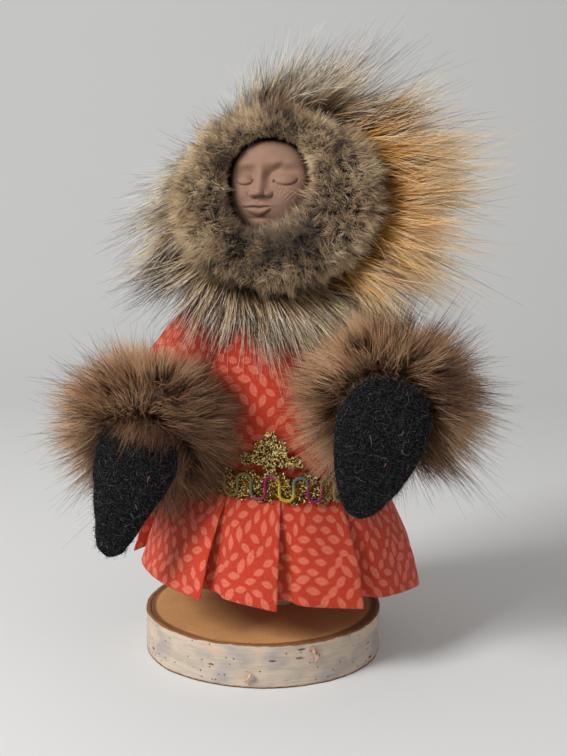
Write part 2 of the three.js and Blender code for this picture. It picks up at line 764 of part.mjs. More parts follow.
function hoodProfile() {
  const points = [new THREE.Vector2(HOOD_NECK_RADIUS, HOOD_BOTTOM)];
  const drop = HEAD_HEIGHT - HOOD_BOTTOM;
  const start = -Math.acos(HOOD_NECK_RADIUS / HOOD_RADIUS);
  for (let i = 1; i <= HOOD_ROWS; i++) {
    const angle = THREE.MathUtils.lerp(start, Math.PI / 2, i / HOOD_ROWS);
    const lift = angle < 0 ? drop * (Math.sin(angle) / -Math.sin(start)) : HOOD_CROWN * Math.sin(angle);
    points.push(new THREE.Vector2(Math.max(HOOD_RADIUS * Math.cos(angle), 0), HEAD_HEIGHT + lift));
  }
  return points;
}

// The hood's profile moved inward, ending on the axis.
function insideHood(distance) {
  const points = offsetProfile(hoodProfile(), -distance);
  points[points.length - 1].x = 0;
  return points;
}

// A profile brought back to the axis at both ends, to turn a filled body.
function closedProfile(points) {
  const first = points[0];
  const last = points[points.length - 1];
  return [new THREE.Vector2(0, first.y), ...points.slice(0, -1), new THREE.Vector2(0, last.y)];
}

function frontOf(distance, bottom) {
  const box = new THREE.BoxGeometry(2 * FAR, FAR, FAR);
  return box.translate(0, -distance - FAR / 2, bottom + FAR / 2);
}

function buildHead() {
  const outer = hoodProfile();
  const hood = turned([...outer, ...insideHood(CLOTH).reverse(), outer[0].clone()], HOOD_SIDES);
  piece(head, "hood", cut(hood, [frontOf(HOOD_FRONT, HOOD_OPENING_BOTTOM)]), FINISHES.cotton);

  const stuffed = turned(closedProfile(insideHood(CLOTH + GAP)), HOOD_SIDES);
  const boreStart = new THREE.Vector3();
  const boreLength = HEAD_BOTTOM + DOWEL_IN_HEAD + GAP;
  const bore = cylinderAlong(Z_AXIS, DOWEL_RADIUS + GAP, boreStart, boreLength, DOWEL_SIDES);
  const below = new THREE.BoxGeometry(2 * FAR, 2 * FAR, FAR).translate(0, 0, HEAD_BOTTOM - FAR / 2);
  const padding = cut(stuffed, [bore, below, frontOf(FACE_SEAT, HEAD_BOTTOM)]);
  piece(head, "head_padding", padding, FINISHES.padding);
}

// Each part of the relief is a soft round rise or hollow.
function faceRelief(x, z) {
  let lift = 0;
  for (const relief of FACE_RELIEF) {
    const aside = (x - relief.x) / relief.width;
    const up = (z - relief.z) / relief.height;
    lift += relief.lift * Math.exp(-(aside * aside) - up * up);
  }
  return lift;
}

// The plain dome of the face, grown by a distance on every side.
function faceDome(grow) {
  const profile = [new THREE.Vector2(0, 0), new THREE.Vector2(1, 0)];
  for (let i = 0; i <= FACE_ROWS; i++) {
    const angle = (i / FACE_ROWS) * (Math.PI / 2);
    const height = FACE_RIM + (FACE_DEPTH + grow - FACE_RIM) * Math.sin(angle) ** FACE_ROUNDNESS;
    profile.push(new THREE.Vector2(Math.cos(angle), height));
  }
  profile[profile.length - 1].x = 0;
  const dome = turned(profile, FACE_SIDES);
  return dome.scale(FACE_HALF_WIDTH + grow, FACE_HALF_HEIGHT + grow, 1).rotateX(Math.PI / 2);
}

function placeFace(geometry) {
  return geometry.translate(FACE_ASIDE, -FACE_SEAT - GAP, FACE_HEIGHT);
}

function buildFace() {
  const face = faceDome(0);
  const place = face.attributes.position;
  for (let i = 0; i < place.count; i++) {
    const deep = place.getY(i);
    if (deep < -FACE_RIM - GAP) {
      place.setY(i, deep - faceRelief(place.getX(i), place.getZ(i)));
    }
  }
  piece(head, "face", shell(placeFace(face)), FINISHES.clay);
}

// A ring of fur from its opening to its outline, as the dense pile fills it.
function ruff({ hole, rim, rootY, rimY, thickness }, grow) {
  const lean = Math.tan(radians(RUFF_TILT));
  const sections = [];
  for (let i = 0; i < RUFF_SIDES; i++) {
    const angle = (i / RUFF_SIDES) * 2 * Math.PI;
    const root = new THREE.Vector3(
      hole.x + Math.cos(angle) * (hole.width - grow),
      rootY,
      hole.z + Math.sin(angle) * (hole.height - grow),
    );
    let kept = 1;
    for (const { toward, depth, focus } of rim.pinches) {
      kept -= depth * Math.max(0, Math.cos(angle - radians(toward))) ** focus;
    }
    const end = new THREE.Vector3(
      rim.x + Math.cos(angle) * (rim.width * kept + grow),
      rimY,
      rim.z + Math.sin(angle) * (rim.height * kept + grow),
    );
    const section = [];
    for (let j = 0; j < RUFF_POINTS; j++) {
      const turn = (j / RUFF_POINTS) * 2 * Math.PI;
      const point = root.clone().lerp(end, (1 - Math.cos(turn)) / 2);
      point.y += Math.sin(turn) * (thickness / 2 + grow);
      point.y += (point.z - HEAD_HEIGHT) * lean;
      section.push(point);
    }
    sections.push(section);
  }
  return loft(sections, true);
}

function buildRuffs() {
  const hood = turned(closedProfile(offsetProfile(hoodProfile(), GAP)), HOOD_SIDES);
  const inner = cut(ruff(INNER_RUFF, 0), [placeFace(faceDome(FACE_RELIEF_ROOM)), hood.clone()]);
  piece(head, "inner_ruff", inner, FINISHES.plush);
  const body = bodyFilled(RUFF_GAP, 0).rotateZ(radians(-HEAD_TURN));
  const outer = cut(ruff(OUTER_RUFF, 0), [ruff(INNER_RUFF, GAP), hood, body]);
  piece(head, "outer_ruff", outer, FINISHES.guard);
}

buildSlice();
buildDowel();
buildBody();
buildSkirt();
buildBraid();
buildOrnament();
for (const [name, arm] of Object.entries(ARMS)) {
  buildArm(name, arm);
}
buildHead();
buildFace();
buildRuffs();

export default group;
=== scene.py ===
"""Dresses the packed frame of a small hooded parka doll in its cloth, fur, felt, clay and birch."""
import math
import random

import bmesh
import bpy
from bpy.props import FloatProperty, FloatVectorProperty, IntProperty, PointerProperty
from mathutils import Matrix, Vector, noise


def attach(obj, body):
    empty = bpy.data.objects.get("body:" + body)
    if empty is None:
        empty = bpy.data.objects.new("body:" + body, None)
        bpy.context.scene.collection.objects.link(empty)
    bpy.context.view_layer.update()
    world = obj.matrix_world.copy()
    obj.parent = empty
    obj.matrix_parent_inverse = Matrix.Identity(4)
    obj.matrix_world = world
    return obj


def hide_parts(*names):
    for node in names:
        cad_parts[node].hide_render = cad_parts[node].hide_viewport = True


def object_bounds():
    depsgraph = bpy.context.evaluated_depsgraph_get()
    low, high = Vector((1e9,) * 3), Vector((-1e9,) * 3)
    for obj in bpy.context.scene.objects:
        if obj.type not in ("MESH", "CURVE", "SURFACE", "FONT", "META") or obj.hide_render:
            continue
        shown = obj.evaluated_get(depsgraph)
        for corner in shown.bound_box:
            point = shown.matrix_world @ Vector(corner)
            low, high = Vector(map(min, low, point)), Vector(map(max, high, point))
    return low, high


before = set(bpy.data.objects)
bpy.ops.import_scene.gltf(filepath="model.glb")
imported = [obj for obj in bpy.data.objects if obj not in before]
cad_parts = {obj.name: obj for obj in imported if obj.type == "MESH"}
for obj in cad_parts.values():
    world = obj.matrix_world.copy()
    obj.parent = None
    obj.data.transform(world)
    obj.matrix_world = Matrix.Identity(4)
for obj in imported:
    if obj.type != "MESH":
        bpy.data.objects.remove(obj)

bl_info = {
    "name": "Parka Doll",
    "version": (1, 0, 0),
    "blender": (4, 5, 0),
    "location": "View3D > Sidebar > Doll",
    "description": "Dresses the frame of a hooded doll in printed cotton, fur, felt, clay and birch",
    "category": "Add Mesh",
}

CAD_BOX = [list(corner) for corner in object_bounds()]
# How far a hair may stand out of the frame's box along each axis
FUR_ROOM = [0.0093 + 0.03 * (high - low) for low, high in zip(*CAD_BOX)]
MM = 0.001
# Points closer than this are taken as one
WELD = 0.001 * MM
TURN = 2 * math.pi
UP = Vector((0, 0, 1))
FRONT = Vector((0, -1, 0))

# Where the doll stands on its slice, and how its head is turned
DOLL = Vector((4.5 * MM, 0, 0))
HEAD_TURN = math.radians(-10)
TO_DOLL = Matrix.Translation(DOLL)
TO_HEAD = TO_DOLL @ Matrix.Rotation(HEAD_TURN, 4, "Z")

# Body: round in plan, flatter from front to back, and higher on the doll's right at the waist
WAIST_HEIGHT = 50 * MM
WAIST_RADIUS = 26.5 * MM
NECK_HEIGHT = 97 * MM
NECK_RADIUS = 9 * MM
BODY_BOTTOM = 43 * MM
BODY_DEPTH = 0.9
WAIST_SLOPE = 0.07
SHOULDER_HEIGHT = 81 * MM
SHOULDER_SWELL = 2.2
SHOULDER_ROUND = 0.7

# Mittens: how large, and how far above the wrist's pivot they begin
MITTEN_LENGTH = 34.5 * MM
MITTEN_THICKNESS = 7 * MM
MITTEN_RISE = 8.5 * MM

# Head and ruffs, in the head's own frame
HEAD_HEIGHT = 120 * MM
RUFF_LEAN = math.tan(math.radians(14))
# Angles around the face, as the doll has them
LEFT = 0
ABOVE = math.pi / 2
RIGHT = math.pi
BELOW = -math.pi / 2


def srgb(red, green, blue):
    """A screen colour, 0 to 255, as the linear light that shaders take."""
    shares = [value / 255 for value in (red, green, blue)]
    return tuple(s / 12.92 if s <= 0.04045 else ((s + 0.055) / 1.055) ** 2.4 for s in shares)


def length(name, description, default):
    """A size that a user may change."""
    return FloatProperty(name=name, description=description, default=default, min=0, unit="LENGTH")


def colour(name, description, default):
    """A colour that a user may change."""
    return FloatVectorProperty(
        name=name, description=description, default=default, subtype="COLOR", size=3, min=0, max=1
    )


def count(name, description, default):
    """A number of like things that a user may change."""
    return IntProperty(name=name, description=description, default=default, min=1)


class BirchSettings(bpy.types.PropertyGroup):
    """The slice of birch under the doll."""

    radius: length("Radius", "Middle radius of the slice with its bark", 31.5 * MM)
    height: length("Height", "Thickness of the slice", 11.3 * MM)
    bark: length("Bark", "Thickness of the bark", 1.6 * MM)
    wood: colour("Wood", "Sanded end grain", srgb(202, 148, 95))
    rim: colour("Rim", "Brown inner bark", srgb(126, 82, 46))
    paper: colour("Paper", "Outer bark", srgb(184, 170, 153))
    patch: colour("Patch", "Greyer stretches of the bark", srgb(156, 147, 144))
    mark: colour("Mark", "Lenticels", srgb(104, 80, 60))


class ParkaSettings(bpy.types.PropertyGroup):
    """The printed cotton of bodice, sleeves, hood and skirt."""

    cotton: colour("Cotton", "Ground of the print", srgb(178, 54, 32))
    leaf: colour("Leaf", "Leaves of the print", srgb(206, 106, 83))
    leaf_length: length("Leaf length", "Length of a printed leaf", 3.7 * MM)
    leaf_width: length("Leaf width", "Width of a printed leaf", 1.8 * MM)
    leaf_spacing: length("Leaf spacing", "Distance between every other printed leaf", 4.7 * MM)
    thread: length("Thread", "Distance between threads of the weave", 0.5 * MM)
    cloth: length("Cloth", "Thickness of the cotton", 0.45 * MM)
    drop: length("Drop", "Length of the skirt", 29 * MM)
    flare: length("Flare", "How far the hem stands out from the waist", 8.5 * MM)
    pleat_depth: length("Pleat depth", "How far a pleat's edge stands out", 3.4 * MM)


class TrimSettings(bpy.types.PropertyGroup):
    """The metallic braid at the waist and the ornament above it."""

    gold: colour("Gold", "Metallic yarn", srgb(250, 198, 66))
    height: length("Height", "Height of the braid", 7.5 * MM)
    loops: count("Loops", "Loops of the coloured cord around the braid", 26)
    cord: length("Cord", "Thickness of the coloured cord", 0.82 * MM)
    tinsel: count("Tinsel", "Curls of metallic yarn on the braid", 3300)


class FaceSettings(bpy.types.PropertyGroup):
    """The pressed clay face."""

    clay: colour("Clay", "Body of the clay", srgb(140, 107, 89))
    # The shade colour is painted shade in the face's recesses.
    shade: colour("Shade", "Rubbed and hollow places", srgb(112, 82, 69))


class MittenSettings(bpy.types.PropertyGroup):
    """The felt mittens."""

    felt: colour("Felt", "Body of the felt", srgb(19, 18, 20))
    lint: colour("Lint", "Paler fibres of the felt", srgb(128, 124, 124))
    hand_length: length("Length", "Length of a mitten", MITTEN_LENGTH)
    thickness: length("Thickness", "Thickness of a mitten", MITTEN_THICKNESS)
    tip: length("Tip", "Width of the blunt tip", 5 * MM)
    fibres: count("Fibres", "Loose fibres on each mitten", 4900)


class FurSettings(bpy.types.PropertyGroup):
    """The two ruffs of the hood and the cuffs."""

    plush: count("Plush hairs", "Hairs of the inner ruff", 36600)
    plush_length: length("Plush length", "Pile of the inner ruff", 4.0 * MM)
    under: count("Under hairs", "Short hairs of the outer ruff", 8200)
    guard: count("Guard hairs", "Long hairs of the outer ruff", 5800)
    amber: count("Amber hairs", "Fine hairs at the amber side of the outer ruff", 5300)
    cuff: count("Cuff hairs", "Short hairs of each cuff", 19200)
    cuff_guard: count("Cuff guard hairs", "Long dark hairs of each cuff", 3200)
    cuff_length: length("Cuff length", "Pile of the cuffs", 9.5 * MM)


class StageSettings(bpy.types.PropertyGroup):
    """The floor, the light and the camera."""

    floor: colour("Floor", "Floor and backdrop", srgb(212, 212, 211))
    key: FloatProperty(name="Key", description="Power of the main lamp", default=7.4, min=0, unit="POWER")
    fill: FloatProperty(name="Fill", description="Power of the second lamp", default=0.5, min=0, unit="POWER")
    lens: FloatProperty(name="Lens", description="Focal length of the camera", default=54.1, unit="CAMERA")


class Finish:
    """A procedural material, built up node by node."""

    # Where a mix node keeps its colour sockets
    MIX_SHARE = 0
    MIX_FIRST = 6
    MIX_SECOND = 7
    MIX_RESULT = 2

    def __init__(self, name, sockets):
        self.material = bpy.data.materials.new(name)
        self.material.use_nodes = True
        self.nodes = self.material.node_tree.nodes
        self.links = self.material.node_tree.links
        self.shader = self.nodes["Principled BSDF"]
        for socket, value in sockets.items():
            self.put(self.shader.inputs[socket], value)

    def put(self, socket, value):
        """Gives a socket a value, or a link where the value is another node's output."""
        if isinstance(value, bpy.types.NodeSocket):
            self.links.new(value, socket)
        elif socket.type == "RGBA":
            socket.default_value = (*value[:3], 1)
        else:
            socket.default_value = value

    def add(self, kind, inputs, **settings):
        """A new node with its settings, and its inputs by name."""
        node = self.nodes.new(kind)
        for name, value in settings.items():
            setattr(node, name, value)
        for name, value in inputs.items():
            self.put(node.inputs[name], value)
        return node

    def paint(self, value):
        """Sends a colour to the shader."""
        self.put(self.shader.inputs["Base Color"], value)

    def math(self, operation, *values, clamp=False):
        """The result of a sum."""
        node = self.nodes.new("ShaderNodeMath")
        node.operation = operation
        node.use_clamp = clamp
        for socket, value in zip(node.inputs, values):
            self.put(socket, value)
        return node.outputs[0]

    def step(self, value, edge, soft):
        """0 below an edge and 1 above it, with a soft change between."""
        rise = self.math("DIVIDE", self.math("SUBTRACT", value, edge), soft)
        return self.math("ADD", rise, 0.5, clamp=True)

    def times(self, first, second):
        """A product."""
        return self.math("MULTIPLY", first, second)

    def scaled(self, value, factor, offset, clamp=False):
        """A value times a factor, plus an offset."""
        return self.math("MULTIPLY_ADD", value, factor, offset, clamp=clamp)

    def mix(self, share, first, second, blend="MIX"):
        """A colour between two others."""
        inputs = {self.MIX_SHARE: share, self.MIX_FIRST: first, self.MIX_SECOND: second}
        node = self.add("ShaderNodeMix", inputs, data_type="RGBA", blend_type=blend)
        return node.outputs[self.MIX_RESULT]

    def tint(self, factor, value):
        """A colour made darker or lighter by a factor."""
        return self.mix(1, value, factor, "MULTIPLY")

    def ramp(self, share, stops):
        """Colours along a share from 0 to 1."""
        node = self.add("ShaderNodeValToRGB", {"Fac": share})
        elements = node.color_ramp.elements
        while len(elements) < len(stops):
            elements.new(1)
        for element, (place, value) in zip(elements, stops):
            element.position = place
            element.color = (*value[:3], 1)
        return node.outputs["Color"]

    def place(self, scale=(1, 1, 1)):
        """The point on the piece, in metres, drawn out along each axis."""
        point = self.add("ShaderNodeTexCoord", {}).outputs["Object"]
        return self.add("ShaderNodeMapping", {"Vector": point, "Scale": scale}).outputs["Vector"]

    def sheet(self, name, scale=(1, 1, 1)):
        """The point on the piece's own map of its surface."""
        point = self.add("ShaderNodeUVMap", {}, uv_map=name).outputs["UV"]
        return self.add("ShaderNodeMapping", {"Vector": point, "Scale": scale}).outputs["Vector"]

    def split(self, vector):
        """The three parts of a vector."""
        return self.add("ShaderNodeSeparateXYZ", {"Vector": vector}).outputs

    def noise(self, vector, size, detail=2, rough=0.5):
        """Soft random grey whose patches are about a size, in metres, across."""
        inputs = {"Vector": vector, "Scale": 1 / size, "Detail": detail, "Roughness": rough}
        return self.add("ShaderNodeTexNoise", inputs).outputs["Fac"]

    def cells(self, vector, size, uneven=1.0):
        """Flat cells about a size, in metres, across: their middles, distances and random colours."""
        inputs = {"Vector": vector, "Scale": 1 / size, "Randomness": uneven}
        return self.add("ShaderNodeTexVoronoi", inputs, voronoi_dimensions="2D").outputs

    def bump(self, height, depth, strength=1.0):
        """Raises the surface by a height from 0 to 1, as deep as a distance."""
        inputs = {"Height": height, "Distance": depth, "Strength": strength}
        self.put(self.shader.inputs["Normal"], self.add("ShaderNodeBump", inputs).outputs["Normal"])


PRINT_MAP = "Print"
HAIR_MAP = "OFBake"
# The hairs' map: tones side by side, so many to a coat, how wide a hair's strip is and how high it runs
HAIR_TONES = 64
COAT_TONES = 16
HAIR_STRIP = 0.0012
HAIR_REACH = 0.12


def printed_leaves(finish, parka, shift):
    """How much of a leaf shows, for leaves around the middles of a lattice, each turned its own way."""
    cloth = finish.add("ShaderNodeVectorMath", {0: finish.sheet(PRINT_MAP), 1: (shift, shift, 0)}).outputs[0]
    cells = finish.cells(cloth, parka.leaf_spacing, 0.16)
    middle = cells["Position"]
    chance = finish.split(cells["Color"])
    turn = finish.scaled(finish.noise(middle, 20 * MM, 1), 9, finish.times(chance["X"], 1.9))
    offset = finish.add("ShaderNodeVectorMath", {0: cloth, 1: middle}, operation="SUBTRACT").outputs[0]
    turned = finish.add("ShaderNodeVectorRotate", {"Vector": offset, "Angle": turn}, rotation_type="Z_AXIS")
    across, along, _ = finish.split(turned.outputs[0])
    grown = finish.scaled(chance["Y"], 0.3, 0.8)
    along = finish.math("DIVIDE", along, finish.times(grown, parka.leaf_length / 2))
    round_off = finish.math("SUBTRACT", 1, finish.times(along, along))
    half = finish.times(round_off, finish.times(grown, parka.leaf_width / 2))
    inside = finish.math("SUBTRACT", half, finish.math("ABSOLUTE", across))
    vein = finish.step(finish.math("ABSOLUTE", across), 0.12 * MM, 0.15 * MM)
    return finish.times(finish.step(inside, 0, 0.3 * MM), finish.scaled(vein, 0.2, 0.75))


def printed_cotton(parka):
    """Plain weave with pale pointed leaves that drift in direction."""
    sockets = {"Roughness": 0.88, "Specular IOR Level": 0.2, "Sheen Weight": 0.15, "Sheen Roughness": 0.5}
    finish = Finish("printed cotton", sockets)
    cloth = finish.sheet(PRINT_MAP)
    leaf = printed_leaves(finish, parka, 0)
    leaf = finish.math("MAXIMUM", leaf, printed_leaves(finish, parka, parka.leaf_spacing / 2))
    speck = finish.noise(cloth, 0.5 * MM, 1)
    leaf = finish.times(leaf, finish.scaled(speck, 0.9, 0.45, clamp=True))
    threads = finish.sheet(PRINT_MAP, (TURN / parka.thread, TURN / parka.thread, 1))
    across, along, _ = finish.split(threads)
    weave = finish.times(finish.math("SINE", across), finish.math("SINE", along))
    faded = finish.scaled(finish.noise(cloth, 9 * MM, 3), 0.3, 0.85)
    slub = finish.scaled(finish.noise(cloth, 0.45 * MM, 1), 0.8, -0.4)
    faded = finish.math("ADD", faded, finish.scaled(weave, 0.42, slub))
    finish.paint(finish.tint(faded, finish.mix(leaf, parka.cotton, parka.leaf)))
    finish.bump(finish.scaled(weave, 0.5, 0.5), 0.1 * MM, 0.9)
    return finish.material


def birch_end(birch):
    """Sanded end grain with faint rings, darker and browner toward the bark."""
    finish = Finish("birch end grain", {"Roughness": 0.75, "Specular IOR Level": 0.25})
    place = finish.place()
    across, along, _ = finish.split(place)
    wobble = finish.times(finish.noise(place, 14 * MM, 3), 3 * MM)
    distance = finish.math("SQRT", finish.scaled(across, across, finish.math("POWER", along, 2)))
    ring = finish.math("SINE", finish.times(finish.math("ADD", distance, wobble), TURN / (1.5 * MM)))
    grain = finish.noise(finish.place((1, 1, 0.2)), 0.5 * MM, 3, 0.7)
    mottle = finish.noise(place, 11 * MM, 2)
    shade = finish.scaled(ring, 0.012, finish.scaled(grain, 0.5, 0.6))
    shade = finish.math("ADD", shade, finish.scaled(mottle, 0.36, -0.16))
    rim_at = birch.radius - birch.bark - 0.3 * MM
    rim = finish.step(finish.math("ADD", distance, finish.times(wobble, 0.3)), rim_at, 0.8 * MM)
    finish.paint(finish.tint(shade, finish.mix(rim, birch.wood, birch.rim)))
    finish.bump(grain, 0.12 * MM, 0.7)
    return finish.material


def birch_paper(birch):
    """Papery bark with long dark marks around it, small dots and greyer stretches."""
    finish = Finish("birch bark", {"Roughness": 0.7, "Specular IOR Level": 0.3})
    paper = finish.sheet(PRINT_MAP)
    around, up, _ = finish.split(paper)
    patch = finish.step(finish.noise(finish.sheet(PRINT_MAP, (0.7, 1, 1)), 9 * MM, 2), 0.56, 0.12)
    streak = finish.noise(finish.sheet(PRINT_MAP, (0.12, 1, 1)), 0.9 * MM, 3, 0.65)
    base = finish.mix(finish.times(patch, 0.75), birch.paper, birch.patch)
    warm = finish.step(finish.noise(paper, 6 * MM, 3), 0.6, 0.2)
    base = finish.mix(finish.times(warm, 0.35), base, srgb(218, 178, 150))
    base = finish.tint(finish.scaled(streak, 0.6, 0.7), base)
    dashes = finish.cells(finish.sheet(PRINT_MAP, (0.3, 1, 1)), 2.3 * MM)
    chosen = finish.step(finish.split(dashes["Color"])["X"], 0.8, 0.05)
    ragged = finish.scaled(finish.noise(paper, 0.6 * MM, 2), 0.14, 0.05)
    dash = finish.math("SUBTRACT", 1, finish.step(dashes["Distance"], ragged, 0.05))
    dots = finish.cells(paper, 1.5 * MM)
    dotted = finish.step(finish.split(dots["Color"])["Y"], 0.86, 0.05)
    dot = finish.math("SUBTRACT", 1, finish.step(dots["Distance"], 0.13, 0.08))
    marks = finish.math("MAXIMUM", finish.times(dash, chosen), finish.times(dot, dotted))
    edge = finish.math("ABSOLUTE", finish.math("SUBTRACT", up, birch.height / 2))
    edge = finish.math("ADD", edge, finish.times(finish.noise(paper, 2 * MM, 3), 0.7 * MM))
    cut = finish.step(edge, birch.height / 2, 0.3 * MM)
    finish.paint(finish.mix(cut, finish.mix(marks, base, birch.mark), birch.rim))
    rough = finish.math("SUBTRACT", streak, finish.times(marks, 0.8))
    finish.bump(rough, 0.25 * MM, 0.8)
    return finish.material


def plain_wood():
    """Turned dowel with long grain."""
    finish = Finish("dowel wood", {"Roughness": 0.65})
    grain = finish.noise(finish.place((1, 1, 0.06)), 0.7 * MM, 3, 0.6)
    finish.paint(finish.ramp(grain, [(0.3, srgb(186, 150, 106)), (0.7, srgb(218, 188, 146))]))
    finish.bump(grain, 0.08 * MM, 0.5)
    return finish.material


def drawn_wire():
    """Soft aluminium wire with fine drawing lines."""
    finish = Finish("drawn wire", {"Metallic": 1.0, "Roughness": 0.42})
    lines = finish.noise(finish.place(), 0.6 * MM, 3, 0.6)
    finish.paint(finish.ramp(lines, [(0.3, srgb(150, 150, 148)), (0.7, srgb(190, 190, 187))]))
    finish.bump(lines, 0.03 * MM, 0.4)
    return finish.material


def fired_clay(face):
    """Matt clay, painted darker in its recesses as shade, and scratched by the tool that pressed it."""
    finish = Finish("face clay", {"Roughness": 0.72, "Specular IOR Level": 0.3})
    place = finish.place()
    mottle = finish.noise(place, 3.2 * MM, 3)
    hollow = finish.add("ShaderNodeAttribute", {}, attribute_name="hollow").outputs["Fac"]
    # Random mottle, plus painted shade in the recesses.
    shade = finish.scaled(mottle, 0.5, finish.scaled(hollow, 0.8, -0.2), clamp=True)
    finish.paint(finish.mix(shade, face.clay, face.shade))
    scratch = finish.noise(finish.place((1.6, 1, 0.35)), 0.5 * MM, 2)
    grain = finish.noise(place, 0.16 * MM, 2)
    finish.bump(finish.scaled(scratch, 0.6, finish.times(grain, 0.4)), 0.09 * MM, 0.6)
    return finish.material


def wool_felt(mittens):
    """Near black felt, matted and a little paler where fibres cross."""
    finish = Finish("black felt", {"Roughness": 0.95, "Specular IOR Level": 0.1})
    place = finish.place()
    mat = finish.noise(place, 0.4 * MM, 4, 0.75)
    dark = tuple(part * 0.1 for part in mittens.felt)
    paler = tuple(part * 7 for part in mittens.felt)
    finish.paint(finish.ramp(mat, [(0.42, dark), (0.5, mittens.felt), (0.64, paler)]))
    finish.bump(mat, 0.9 * MM, 1)
    return finish.material


def metallic_yarn(trim):
    """Gold yarn, painted dark and bright in turn along it as painted shade and painted glints."""
    finish = Finish("metallic yarn", {"Metallic": 0.85, "Roughness": 0.3})
    twist_and_glint = finish.noise(finish.place(), 0.35 * MM, 2)
    # Below the gold, the ramp's dark tones are painted shade, and the gold stands in for painted glints.
    finish.paint(finish.ramp(twist_and_glint, [(0.4, srgb(36, 22, 8)), (0.6, srgb(122, 82, 22)), (0.75, trim.gold)]))
    finish.bump(twist_and_glint, 0.25 * MM, 1)
    return finish.material


def variegated_cord():
    """Cord whose dye changes from loop to loop."""
    finish = Finish("variegated cord", {"Roughness": 0.5, "Specular IOR Level": 0.3})
    along, around, _ = finish.split(finish.sheet(PRINT_MAP))
    share = finish.math("FRACT", finish.math("ADD", along, 0.45))
    olive, teal, magenta = srgb(118, 105, 50), srgb(78, 104, 96), srgb(142, 22, 84)
    yellow, tan = srgb(188, 165, 50), srgb(132, 106, 62)
    stops = [(0.0, olive), (0.12, olive), (0.18, teal), (0.24, magenta), (0.31, magenta), (0.36, yellow)]
    stops += [(0.44, yellow), (0.49, teal), (0.53, teal), (0.57, magenta), (0.64, magenta)]
    stops += [(0.71, tan), (0.9, tan)]
    strands = finish.math("SINE", finish.scaled(along, 900, finish.times(around, TURN)))
    shade = finish.scaled(strands, 0.18, 0.85)
    finish.paint(finish.tint(shade, finish.ramp(share, stops)))
    finish.bump(strands, 0.1 * MM, 0.8)
    return finish.material


def hair_finish(name, coats, sockets, variety=0.6):
    """Hair whose colour runs from root to tip. Each coat has its own run of tones, lighter and darker."""
    finish = Finish(name, {"Roughness": 0.55, "Specular IOR Level": 0.3, **sockets})
    across, along, _ = finish.split(finish.sheet(HAIR_MAP))
    tone = finish.math("FLOOR", finish.times(across, HAIR_TONES))
    share = finish.math("DIVIDE", along, HAIR_REACH)
    value = finish.ramp(share, coats[0])
    for index, stops in enumerate(coats[1:], 1):
        is_later = finish.math("GREATER_THAN", tone, index * COAT_TONES - 0.5)
        value = finish.mix(is_later, value, finish.ramp(share, stops))
    chance = finish.add("ShaderNodeTexWhiteNoise", {"W": tone}, noise_dimensions="1D").outputs["Value"]
    finish.paint(finish.tint(finish.scaled(chance, variety, 1 - variety * 0.55), value))
    return finish.material


def coloured(coats):
    """Coats of hair, whose stops are a place and a screen colour, as stops in linear light."""
    return [[(place, srgb(*shade)) for place, *shade in stops] for stops in coats]


def hide(name, dark, pale, size):
    """The matted base of a pelt, seen between its hairs."""
    finish = Finish(name, {"Roughness": 0.95, "Specular IOR Level": 0.1})
    mat = finish.noise(finish.place(), size, 4, 0.7)
    finish.paint(finish.ramp(mat, [(0.35, dark), (0.7, pale)]))
    finish.bump(mat, size, 0.8)
    return finish.material


def new_object(name, bm, material):
    """A finished mesh as an object of the scene."""
    mesh = bpy.data.meshes.new(name)
    bm.to_mesh(mesh)
    bm.free()
    mesh.shade_smooth()
    mesh.materials.append(material)
    made = bpy.data.objects.new(name, mesh)
    bpy.context.scene.collection.objects.link(made)
    return made


def new_piece(name, bm, material, body):
    """A finished mesh as a piece that rides on a body of the frame."""
    piece = new_object(name, bm, material)
    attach(piece, body)
    return piece


def smoother(piece, levels):
    """Rounds a piece off."""
    rounding = piece.modifiers.new("Rounding", "SUBSURF")
    rounding.levels = levels
    rounding.render_levels = levels


def welded(bm):
    """Joins corners that meet and turns every face outward."""
    bmesh.ops.remove_doubles(bm, verts=bm.verts, dist=WELD)
    bm.normal_update()
    bmesh.ops.recalc_face_normals(bm, faces=bm.faces)
    return bm


def spun(profile, steps):
    """A closed body turned around the upright axis from (radius, height) points."""
    bm = bmesh.new()
    verts = [bm.verts.new((radius, 0, height)) for radius, height in profile]
    edges = [bm.edges.new(pair) for pair in zip(verts, verts[1:])]
    bmesh.ops.spin(
        bm, geom=verts + edges, cent=(0, 0, 0), axis=UP, angle=TURN, steps=steps, use_merge=True
    )
    return welded(bm)


def lofted(rings, closed=True, filled=True):
    """A skin pulled from ring to ring of points. Its corners remember their column and row."""
    bm = bmesh.new()
    column = bm.verts.layers.int.new("column")
    row = bm.verts.layers.int.new("row")
    verts = [bm.verts.new(point) for point in rings[0]]
    for index, vert in enumerate(verts):
        vert[column] = index
    neighbours = verts[1:] + verts[:1] if closed else verts[1:]
    edges = [bm.edges.new(pair) for pair in zip(verts, neighbours)]
    for index, ring in enumerate(rings[1:], 1):
        grown = bmesh.ops.extrude_edge_only(bm, edges=edges)["geom"]
        edges = [part for part in grown if isinstance(part, bmesh.types.BMEdge)]
        for vert in (part for part in grown if isinstance(part, bmesh.types.BMVert)):
            vert.co = ring[vert[column]]
            vert[row] = index
    if filled:
        open_edges = [edge for edge in bm.edges if edge.is_boundary]
        bmesh.ops.holes_fill(bm, edges=open_edges, sides=0)
    bmesh.ops.recalc_face_normals(bm, faces=bm.faces)
    return bm


def section(middle, first, second, radius, sides):
    """Points around a middle, from one direction toward another."""
    turns = [side / sides * TURN for side in range(sides)]
    return [middle + (first * math.cos(turn) + second * math.sin(turn)) * radius for turn in turns]


def closed_ring(at, columns, rows):
    """A skin that closes both ways. at gives its point at a turn around it and around its section."""
    rings = []
    for column in range(columns + 1):
        angle = column / columns * TURN
        rings.append([at(angle, row / rows * TURN) for row in range(rows)])
    return welded(lofted(rings, filled=False))


